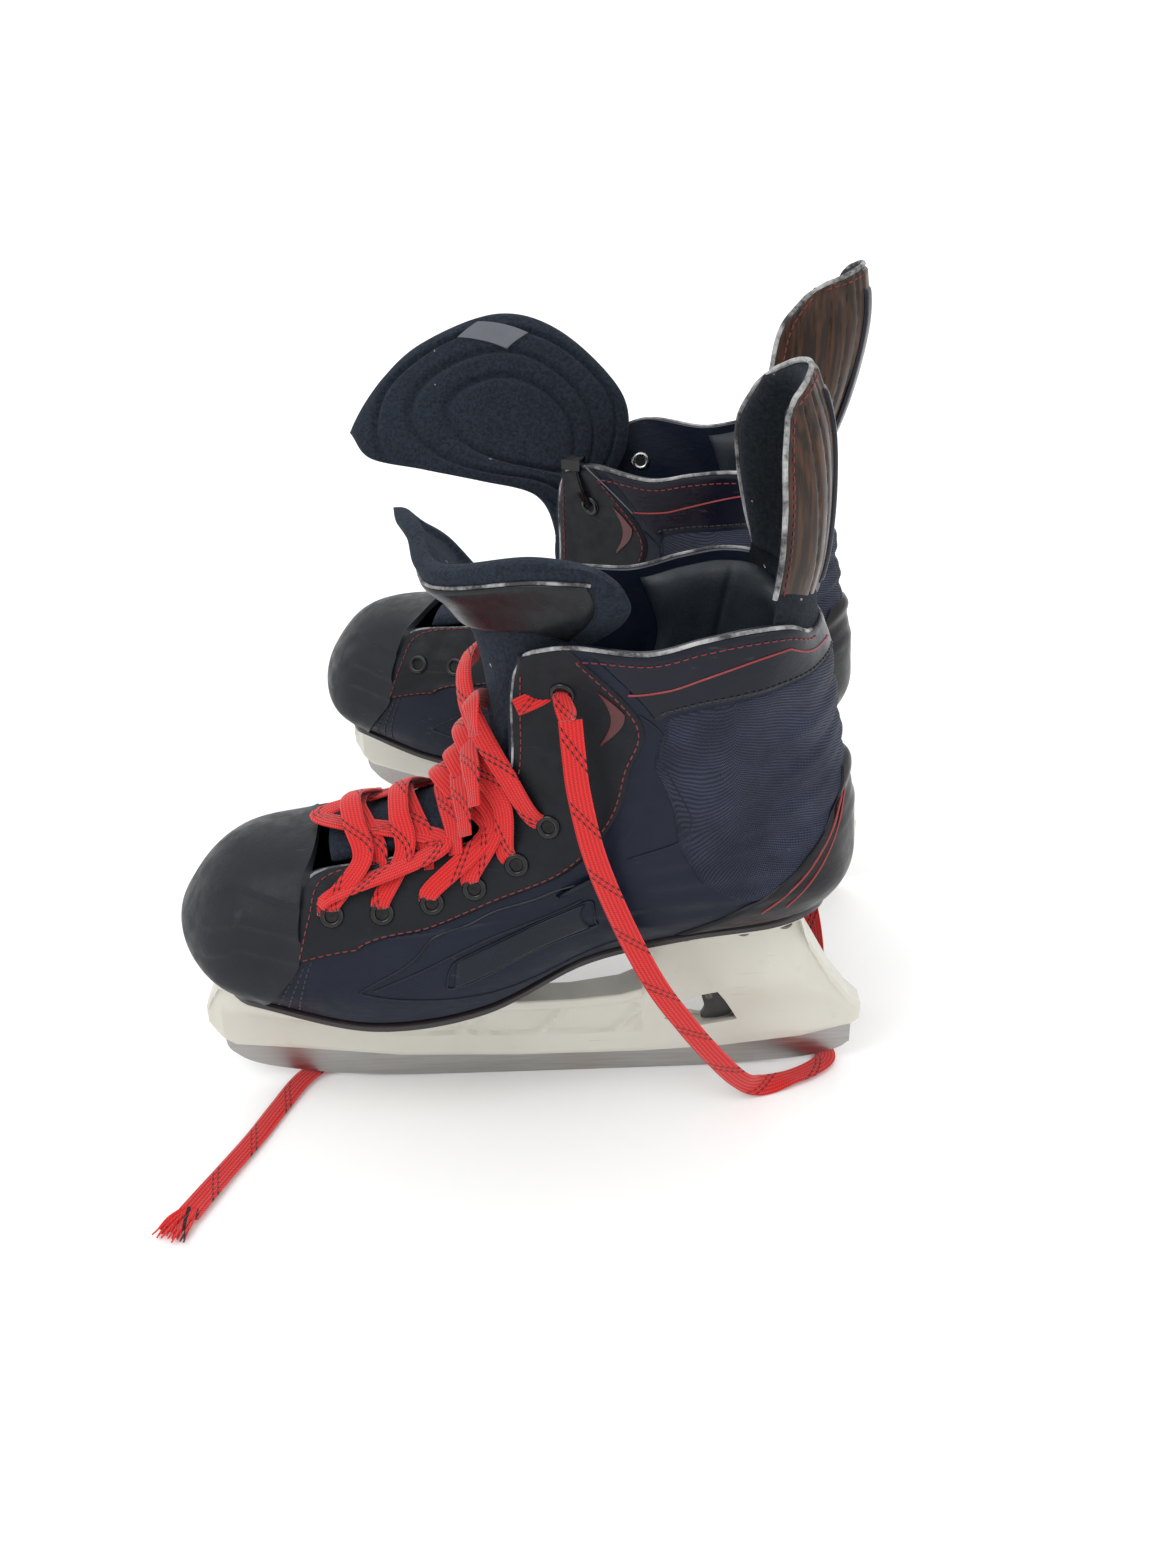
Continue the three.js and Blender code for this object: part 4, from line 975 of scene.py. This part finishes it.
def make_tongue(which):
    shares = (-1, -0.5, 0, 0.5, 1)
    base = Net([[[m[0] + 0.12 * half * s * s, m[1] + half * s, m[2] - 0.12 * half * s * s] for s in shares]
                for m, half in THROAT], boot_place)
    c, r = grid((0, 4, 50), (0, 4, 60))
    body = rim_profile(c.shape, 0.12, 0.05)
    add_sheet("tongue_base", base.lifted(c, r, -2.6 + 2.4 * body), base.lifted(c, r, -3.4 - 2.4 * body),
              felt, which, "boot", "tongue_felt", replaces=["tongue_base"])
    upper = Net(UPPER_TONGUE[which], boot_place)
    last = len(UPPER_TONGUE[which]) - 1
    c, r = grid((0, 4, 130), (0, last, 170))
    body = rim_profile(c.shape, 0.1, 0.07)
    middle = -TONGUE_THICKNESS / 2
    shape = 0
    if which == "right":
        for radius, depth in ((1.0, 2.6), (1.5, 2.4), (2.1, 2.2)):
            distance = np.hypot((c - 2.3) / 0.95, (r - 3.2) / 1.15) - radius
            shape = shape - depth * np.exp(-(distance / 0.07) ** 2)
    else:
        edge = np.minimum(np.minimum(c, 4 - c) * 1.2, last - r)
        shape = shape - 1.8 * smooth((edge - 0.35) / 0.25) * smooth((r - 1.5) / 0.8)
    add_sheet("tongue_upper", upper.lifted(c, r, middle + (3.8 + shape) * body),
              upper.lifted(c, r, middle - 3.8 * body), felt, which, "tongue", "tongue_felt",
              replaces=["tongue_upper"])
    c, r = grid((0.55, 3.45, 60), (last * 0.5, last * 0.82, 50))
    body = rim_profile(c.shape, 0.08, 0.08)
    face = -TONGUE_THICKNESS - 0.1
    add_sheet("tongue_shell", upper.lifted(c, r, face),
              upper.lifted(c, r, face - 0.4 - 1.5 * body), grey_gloss, which, "tongue", "tongue_shell",
              replaces=["tongue_shell"])
    edge = [[k, last * 0.83] for k in np.linspace(0.5, 3.5, 12)]
    line = smooth_line(edge, 0.02)
    bead_piece("tongue_edge", [upper.lifted(line[:, 0], line[:, 1], face - 0.4)], 0.7, piping, which,
               "tongue_shell", "tongue")
    if which == "right":
        c, r = grid((0.55, 1.1, 12), (4.2, 5.0, 12))
        add_sheet("tongue_label", upper.lifted(c, r, 0.5),
                  upper.lifted(c, r, -1.5), label_grey, which, "tongue", "tongue_felt")


GUARD = [
    [[111, 0, 227], [105, 19, 231], [93, 31, 238]],
    [[116, 0, 245], [110, 20, 248], [90, 31, 253]],
    [[119, 0, 270], [113, 20, 271], [88, 30.5, 272]],
    [[119, 0, 295], [113, 18, 294], [89, 28, 291]],
    [[114, 0, 316.5], [110, 14, 314], [99, 22, 308]],
]


def make_guard_root(which, guard):
    """The felt web that joins the guard to the collar and stretches when the guard leans."""
    across, up = np.linspace(-1, 1, 60)[None], np.linspace(0, 1, 14)[:, None, None]
    collar_reach, collar_row, guard_reach, guard_row = 2.3, 8.75, 1.9, 0.4
    depth, bulge, half_thickness = 2.2, 0.3, 0.9
    low = skin.at(HEEL + collar_reach * across, collar_row)
    high = guard.at(2 + guard_reach * across, guard_row)
    inward = -skin.normal(HEEL + collar_reach * across, collar_row)
    middle = low * (1 - up) + high * up + inward * (depth + bulge * np.sin(up * math.pi))
    outer, inner = middle - inward * half_thickness, middle + inward * half_thickness
    web = add_sheet("guard_root", outer, inner, guard_felt, which, None, "tendon_guard")
    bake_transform(web)


def make_guard(which):
    lean = GUARD_LEAN[which]
    px, pz = GUARD_PIVOT

    def place(p):
        x, z = p[..., 0] - px, p[..., 2] - pz
        return np.stack([px + x * math.cos(lean) + z * math.sin(lean), p[..., 1],
                         pz + z * math.cos(lean) - x * math.sin(lean)], -1)

    net = both_sides(GUARD)
    for row, back in zip(net, (0, 6, 10, 10, 3)):
        row[0][0] += back
        row[0][1] -= back * 0.15
    guard = Net(net, place)
    c, r = grid((0, 4, 90), (0, 4, 90))
    side = np.abs(c - 2)
    rim = rim_profile(c.shape, 0.04, 0.03)
    grooves = 0
    for shift in (0.35, 0.75, 1.15):
        grooves = grooves + 0.7 * np.exp(-((side - shift - 0.14 * (r - 2)) / 0.05) ** 2)
    spine = 0.9 * smooth((0.32 - side) / 0.1)
    add_sheet("tendon_guard", guard.lifted(c, r, -1.3 + 1.3 * rim + (spine - grooves) * rim),
              guard.lifted(c, r, -1.7), tinted, which, "guard", "tendon_guard",
              replaces=["tendon_guard"])
    c, r = grid((1.72, 2.28, 16), (0.3, 3.6, 50))
    rim = rim_profile(c.shape, 0.2, 0.05)
    add_sheet("guard_spine", guard.lifted(c, r, 0.6 + 1.3 * rim),
              guard.lifted(c, r, -0.8), band_film, which, "guard", "tendon_guard")
    c, r = grid((0.03, 3.97, 70), (0.02, 3.97, 80))
    rim = rim_profile(c.shape, 0.1, 0.07)
    add_sheet("guard_pad", guard.lifted(c, r, -1.8), guard.lifted(c, r, -2.6 - 3.6 * rim),
              guard_felt, which, "guard", "tendon_guard")
    make_guard_root(which, guard)
    border = [[0, k] for k in np.linspace(0, 3.8, 14)] + [[0.25, 4.0]]
    border += [[k, 4.02] for k in np.linspace(0.6, 3.4, 9)] + [[3.75, 4.0]]
    border += [[4, k] for k in np.linspace(3.8, 0, 14)]
    line = smooth_line(border, 0.03)
    bead_piece("guard_piping", [guard.lifted(line[:, 0], line[:, 1], -1.2)], 1.1, piping, which,
               "tendon_guard", "guard")
    paths = []
    up = np.linspace(0.1, 3.8, 12)
    rim = [[k, 3.87] for k in np.linspace(0.3, 3.7, 12)]
    for path in ([[0.16, k] for k in up], [[3.84, k] for k in up], rim):
        line = smooth_line(path, 0.01)
        p = guard.lifted(line[:, 0], line[:, 1], 0.1)
        paths.append((p, guard.normal(line[:, 0], line[:, 1])))
    add_piece("guard_stitching", *merged([stitches(p, n) for p, n in paths]), red_thread, which, "guard",
              "tendon_guard")


# ---------------------------------------------------------------- holder and steel
HOLDER_UNDER = [[-142, 33], [-138, 27], [-131, 22], [-104, 19], [-61, 13.5], [-8, 11.5],
                [45, 11.5], [80, 13], [116, 17], [138, 23], [142, 26]]
STEEL_UNDER = [[-132, 14], [-122, 9], [-105, 5], [-84, 2], [-62, 0.5], [-30, 0], [30, 0],
               [60, 0.3], [90, 1.1], [116, 3], [132, 7], [138, 11]]
# x, half width of the wall, half width of the flange, top (None follows the sole)
STATIONS = [
    [-142, 2.5, 3, 42], [-139, 3.5, 4.5, 50], [-135, 6, 8, 58], [-129, 9, 15, None], [-120, 12, 22, None],
    [-104, 15, 27, None], [-82, 17, 28, None], [-60, 17, 28, None], [-42, 15, 26, None],
    [-31, 11, 21, None], [-27, 8, 9, 53], [-20, 7, 7.5, 44], [-8, 6.5, 7, 41.5], [15, 6.5, 7, 42],
    [36, 7, 8, 44.5], [45, 7.5, 9, 48], [50, 8.5, 20, None], [58, 10, 23, None], [66, 11, 24.5, None],
    [80, 12, 25, None], [98, 12, 24, None], [110, 10, 18, None], [116, 8, 9, 71], [127, 6.5, 7, 51],
    [135, 6, 6.4, 40], [141, 4.6, 5, 34.5],
]
RIVETS = {"front": [[-110.4, 18.6], [-93, 21.6], [-71, 22.5], [-51, 21]],
          "rear": [[62, 17.2], [86, 18.5], [103.5, 16]]}
TRIGGER_PIVOT = (74, 42.5)
TRIGGER_WINDOW = [[55, 29.4], [71, 25.2], [87, 28.1], [80.6, 41], [77.4, 46.3], [70.6, 44.4], [60.6, 38.4]]
TRIGGER_FINGER = [[-3.8, 0.8], [3.2, 3], [11, -13.2], [-1.8, -16.2], [-0.9, -11], [-2.2, -5]]


def straight_at(points, x, rise=0.0):
    """Height at x of a line of points joined straight, plus a rise."""
    return float(np.interp(x, [p[0] for p in points], [p[1] for p in points])) + rise


def curve_at(points, x):
    """Smooth height at x of a line of points."""
    line = smooth_line(points, 0.5)
    return np.interp(x, line[:, 0], line[:, 1])


def under_sole(x):
    return sole_at(x)[1] - 0.3 - 4.0


def prism(outline, half, y=0.0):
    """A side-view outline made solid across the skate."""
    return loft([np.array([[x, y + s * half, z] for x, z in outline]) for s in (-1, 1)])


def holder_half_width(height, low, high, rail, wall, flange):
    """Half width at a height: rail below, wall above it, flange under the sole."""
    neck = low + min(14, 0.4 * (high - low))
    rise = smooth((height - neck) / max(0.45 * (high - neck), 1))
    body = rail + (wall - rail) * rise
    lip = smooth((height - (high - 5.5)) / 2.0)
    return body + (flange - body) * lip


def recess(x, z, low):
    """Depth of the sunk panels along the bridge, with slanting ribs left standing between them."""
    inside = smooth((x + 66) / 2.5) * smooth((46 - x) / 2.5)
    roof = 37.5 + 3.2 * smooth((x - 5) / 45) - 1.5 * smooth((-20 - x) / 40)
    inside *= smooth((z - low - 11.5) / 1.5) * smooth((roof - z) / 1.5)
    ribs = 0
    for foot in (-34, 1, 34):
        ribs = ribs + np.exp(-((x - foot - 0.75 * (z - low - 12)) / 2.0) ** 4)
    return 1.5 * inside * (1 - np.clip(ribs, 0, 1))


def make_holder(which):
    xs, table = [s[0] for s in STATIONS], []
    for x, wall, flange, top in STATIONS:
        table.append([wall, flange, under_sole(x) - 0.3 if top is None else top])
    table = np.array(table)
    rings = []
    stations = np.unique(np.concatenate([np.linspace(-142, 141, 180), xs]))
    levels = np.concatenate([np.linspace(0, 0.12, 4), np.linspace(0.16, 0.8, 17), np.linspace(0.83, 1, 10)])
    for x in stations:
        wall, flange, top = (np.interp(x, xs, table[:, k]) for k in range(3))
        if -129 < x < -31 or 50 < x < 110:
            top = under_sole(x) - 0.3
        low = straight_at(HOLDER_UNDER, x)
        rail = min(5.5, wall)
        heights = low + (top - low) * levels
        half = np.array([holder_half_width(z, low, top, rail, wall, flange) for z in heights])
        half[0] *= 0.75
        half[1] *= 0.93
        half[-1] -= 0.5
        half = half - np.minimum(recess(x, heights, low), np.maximum(half - 3.2, 0))
        ring = [[x, w, z] for w, z in zip(half, heights)]
        ring += [[x, -w, z] for w, z in zip(half[::-1], heights[::-1])]
        rings.append(np.array(ring))
    piece = add_piece("holder", *loft(rings), nylon, which, "boot", "holder", sharp=28, replaces=["holder"])
    tools = [prism(TRIGGER_WINDOW, 60)]
    px, pz = TRIGGER_PIVOT
    tools.append(prism([[px - 7, pz - 17.8], [px + 17, pz - 17.8], [px + 17, pz + 7], [px - 7, pz + 7]], 3.4))
    top = [[x, straight_at(HOLDER_UNDER, x, 6.5)] for x in (140, 116, 80, 45, -8, -61, -104, -131, -137.2)]
    tools.append(prism([[-137.2, -20], [150, -20], [150, 29.5], *top], 2.0))
    carve(piece, which, tools)


def carve(piece, which, tools):
    """Cuts solids, given in skate millimetres, out of a piece."""
    for number, (verts, faces) in enumerate(tools):
        mesh = bpy.data.meshes.new(f"tool_{number}")
        mesh.from_pydata(to_row(which, verts).tolist(), [], faces)
        made = bmesh.new()
        made.from_mesh(mesh)
        bmesh.ops.triangulate(made, faces=[f for f in made.faces if len(f.verts) > 4])
        bmesh.ops.recalc_face_normals(made, faces=made.faces)
        made.to_mesh(mesh)
        made.free()
        tool = bpy.data.objects.new(f"tool_{number}", mesh)
        bpy.context.scene.collection.objects.link(tool)
        cutter = piece.modifiers.new("cut", "BOOLEAN")
        cutter.operation = "DIFFERENCE"
        cutter.solver = "EXACT"
        cutter.object = tool
        done = bpy.data.meshes.new_from_object(piece.evaluated_get(bpy.context.evaluated_depsgraph_get()))
        piece.modifiers.clear()
        piece.data = done
        bpy.data.objects.remove(tool)
    done.polygons.foreach_set("use_smooth", [True] * len(done.polygons))
    done.set_sharp_from_angle(angle=math.radians(28))


def make_runner(which, body):
    rings = []
    xs = np.concatenate([np.linspace(-136, -128, 14), np.linspace(-126, 132, 110), np.linspace(133, 138, 8)])
    for x in xs:
        top = straight_at(HOLDER_UNDER, x, 6)
        under = float(curve_at(STEEL_UNDER, max(x, -132)))
        nose = math.sqrt(max(0.0, 1 - ((x + 128) / 8.0) ** 2)) if x < -128 else 1.0
        under = top - 1.5 - (top - 1.5 - under) * (0.42 + 0.58 * nose)
        edge = [(0.0, 0.12), (1.0, 0.05), (1.42, 0.25), (1.5, 0.7)]
        side = [[x, y, under + z] for y, z in edge] + [[x, 1.5, top - 0.3], [x, 1.2, top]]
        other = [[x, -y, z] for _, y, z in side[::-1]]
        rings.append(np.array(side[1:] + other[:-1] + [side[0]]))
    add_piece("runner", *loft(rings), steel, which, body, "steel", sharp=25, replaces=["runner"])


def make_small_parts(which):
    """Rivets, trigger, its pin and spring."""
    for end, rows in RIVETS.items():
        parts = []
        for x, y in [(x, s * y) for x, y in rows for s in (-1, 1)]:
            seat = min(under_sole(x + d) for d in (-4, 0, 4)) - 4.6
            dome = [(0.02, -2.6), (1.4, -2.4), (2.7, -1.7), (3.4, -0.7), (3.5, 0.1), (2.0, 0.2), (2.0, 9.6),
                    (0.02, 9.6)]
            parts.append(lathe(dome, [x, y, seat], (0, 0, 1)))
        add_piece(f"{end}_rivets", *merged(parts), rivet_metal, which, "boot", "rivets",
                  replaces=[f"{end}_rivets"])
    px, pz = TRIGGER_PIVOT
    outline = smooth_line([[px + x, pz + z] for x, z in TRIGGER_FINGER + TRIGGER_FINGER[:1]], 0.8)[:-1]
    centre, sides = outline.mean(0), []
    for y, shrink in ((-1.9, 0.9), (-1.5, 1), (1.5, 1), (1.9, 0.9)):
        x, z = (centre + (outline - centre) * shrink).T
        sides.append(np.column_stack([x, np.full(len(x), y), z]))
    fin = loft(sides)
    hub = lathe([(1.9, -1.9), (4.0, -1.9), (4.4, -1.5), (4.4, 1.5), (4.0, 1.9), (1.9, 1.9)], [px, 0, pz],
                (0, 1, 0), 28)
    add_piece("trigger", *merged([fin, hub]), trigger_grey, which, "release", "trigger",
              replaces=["trigger"])
    verts, faces = lathe([(0.02, -8.6), (1.2, -8.6), (1.6, -8.2), (1.6, 8.2), (1.2, 8.6), (0.02, 8.6)],
                         [px, 0, pz], (0, 1, 0), 20)
    add_piece("trigger_pin", verts, faces, rivet_metal, which, "boot", "rivets", replaces=["trigger_pin"])
    turns = np.linspace(0, 2 * math.pi * 2.5, 60)
    along = 2.3 + turns / turns[-1] * 0.9
    coil = np.column_stack([px + 2.5 * np.cos(turns), along, pz + 2.5 * np.sin(turns)])
    add_piece("trigger_spring", *tube(coil, 0.25, 6), rivet_metal, which, "boot", "rivets",
              replaces=["trigger_spring"])


# ---------------------------------------------------------------- threaded laces, left skate only
THROAT_EDGE = [[-80, 29.5, 128.5], [-61, 30, 131.5], [-42, 30, 136], [-30, 30, 143], [-26, 31, 152],
               [-22, 32, 166], [-21, 33, 197]]
MIDDLES = [[-72, 134], [-52, 139.5], [-35, 147], [-28, 155], [-23, 167], [-20, 184]]
LIFTS = [[-2, 5], [-2, 5], [-3, 4.5], [-4, 4], [-5, 2], [-5.5, 0]]


def over_facing(k, side, along=0.0, lift=3.0):
    """A point over eyelet k, moved up the facing towards the throat's edge by a share of the way."""
    (x, z), (edge_x, _, edge_z) = EYELETS[k], THROAT_EDGE[k]
    column, row = spot(x + (edge_x - x) * along, z + (edge_z - 2 - z) * along)
    c = HEEL + side * min(column, 6.97)
    return skin.lifted(c, row, lift), skin.normal(c, row)


def strand(k, side, above):
    """One strand: out of eyelet k, over the throat's edge and under the other side at k + 1."""
    hole, n = over_facing(k, side, 0.0, -3.0)
    rise, n1 = over_facing(k, side, 0.2, 3.2)
    edge, n2 = over_facing(k, side, 0.9, 3.4)
    x, z = MIDDLES[k]
    dx, dz = [v * above for v in LIFTS[k]]
    middle = boot_place(np.array([x + dx, 0, z + dz + 1.0]))
    ex, w, ez = THROAT_EDGE[k + 1]
    under = boot_place(np.array([ex - 2, -side * (w - 7), ez - 2.5]))
    away = boot_place(np.array([ex - 1, -side * (w + 1), ez - 12]))
    tilt = np.array([-0.35 - 0.12 * k, 0, 1.0])
    quarter = middle * 0.5 + edge * 0.5 + tilt * (1.6 + above)
    far_quarter = middle * 0.5 + under * 0.5 + tilt * (1.2 + above)
    points = [hole, rise, edge, quarter, middle, far_quarter, under, away]
    facing = [n, n1, n2 + tilt * 0.6, tilt, tilt, tilt, tilt, tilt]
    width = [6.5, 7.5, 8.6, 9, 9, 9, 8.6, 7]
    return ribbon(points, facing, width, start=37 * k + (19 if side > 0 else 0), wave=0.3)


def make_tie():
    """A plastic tie left through the top eyelet of the unlaced skate's inner flap, and a loose thread."""
    column, row = spot(*EYELETS[-1])
    down, n = skin.lifted(HEEL + column, row, 2.2), skin.normal(HEEL + column, row)
    top = on_skin([[6.5, 9.0], [6.45, 8.9]], 1, 1.6)[0][0]
    route = [down, down * 0.5 + top * 0.5 + n * 1.5, top + [0, 0, 2.5], top + [0, -5, 2]]
    tie_width, tie_thickness = 4.6, 1.5
    verts, faces, uv, _ = ribbon(route, [n, n, n, UP], tie_width, tie_thickness)
    add_piece("plastic_tie", verts, faces, black_gloss, "right", "boot", "facing", uv)
    head = loft([np.array([[x, y, z] + top for y, z in ((-4, 1), (4, 1), (4, 6), (-4, 6))])
                 for x in (-4.5, 4.5)])
    add_piece("plastic_tie_head", *head, black_gloss, "right", "boot", "facing")
    thread = side_line([(12, 224), (24, 215), (36, 205)], 1, 2.4)[0]
    bead_piece("loose_thread", [thread], 0.3, label_grey, "right", "facing", sides=6)


def make_laces():
    parts, uvs = [], []

    def keep(made):
        parts.append(made[:2])
        uvs.append(made[2])

    for k in range(len(MIDDLES)):
        keep(strand(k, -1, 1))
        keep(strand(k, 1, 0.2))
    a, na = over_facing(0, -1, 0.96, 3.6)
    b, nb = over_facing(0, 1, 0.96, 3.6)
    bar = boot_place(np.array([-87, 0, 131.5]))
    first = [over_facing(0, -1, 0.02, -2.0)[0] + [-1.5, 0, 0], over_facing(0, -1, 0.3, 3.0)[0] + [-1.5, 0, 0],
             a + [-2, 0, 0], bar, b + [-2, 0, 0], over_facing(0, 1, 0.3, 3.0)[0] + [-1.5, 0, 0],
             over_facing(0, 1, 0.02, -2.0)[0] + [-1.5, 0, 0]]
    keep(ribbon(first, [na, na, na, UP, nb, nb, nb], [6.5, 7.5, 8.6, 9, 8.6, 7.5, 6.5], start=11))
    for side in (-1, 1):
        inner = boot_place(np.array([-6, side * 33, 196]))
        hole, n = over_facing(6, side, 0.0, -3.5)
        out, _ = over_facing(6, side, 0.0, 3.0)
        start = np.array(OUTER_TAIL[0] if side < 0 else INNER_TAIL[0], float)
        keep(ribbon([inner, hole, out, start + [0, side * 0.5, -1]], [n, [0, 0, 1], [0, 0, 1], n],
                    [7, 6.5, 6.5, 8.5], start=5))
    add_piece("lace_crossing", *merged(parts), red_knit, "left", "boot", "lace", np.concatenate(uvs), 50,
              ["lace_crossing"])


# ---------------------------------------------------------------- studio
def make_studio():
    bpy.ops.mesh.primitive_plane_add(size=40, location=(0, 0, 0))
    floor = bpy.context.object
    floor.name = "floor"
    floor.data.materials.append(floor_paint())
    world = bpy.data.worlds.new("studio")
    world.use_nodes = True
    world.node_tree.nodes["Background"].inputs["Color"].default_value = (1.0, 1.0, 1.0, 1)
    world.node_tree.nodes["Background"].inputs["Strength"].default_value = 1.08
    bpy.context.scene.world = world
    bpy.context.scene.view_settings.view_transform = "Standard"
    lamps = (("key", (-0.9, -0.8, 1.5), 1.0, 9), ("fill", (1.1, -1.2, 1.0), 1.2, 4),
             ("back", (0.3, 1.5, 1.5), 1.4, 9))
    for name, place, size, watts in lamps:
        data = bpy.data.lights.new(name, "AREA")
        data.size = size
        data.energy = watts
        lamp = bpy.data.objects.new(name, data)
        lamp.location = place
        lamp.rotation_mode = "QUATERNION"
        lamp.rotation_quaternion = (Vector((0, 0, 0.12)) - Vector(place)).to_track_quat("-Z", "Y")
        bpy.context.scene.collection.objects.link(lamp)


for which in ("left", "right"):
    for side_name in SIDES:
        make_quarter(which, side_name)
    make_toe(which)
    make_overlays(which)
    make_trim(which)
    make_eyelets(which)
    make_lining(which)
    make_outsole(which)
    make_tongue(which)
    make_guard(which)
    make_holder(which)
    make_runner(which, "steel" if which == "right" else "boot")
    make_small_parts(which)
make_laces()
make_tie()
make_studio()
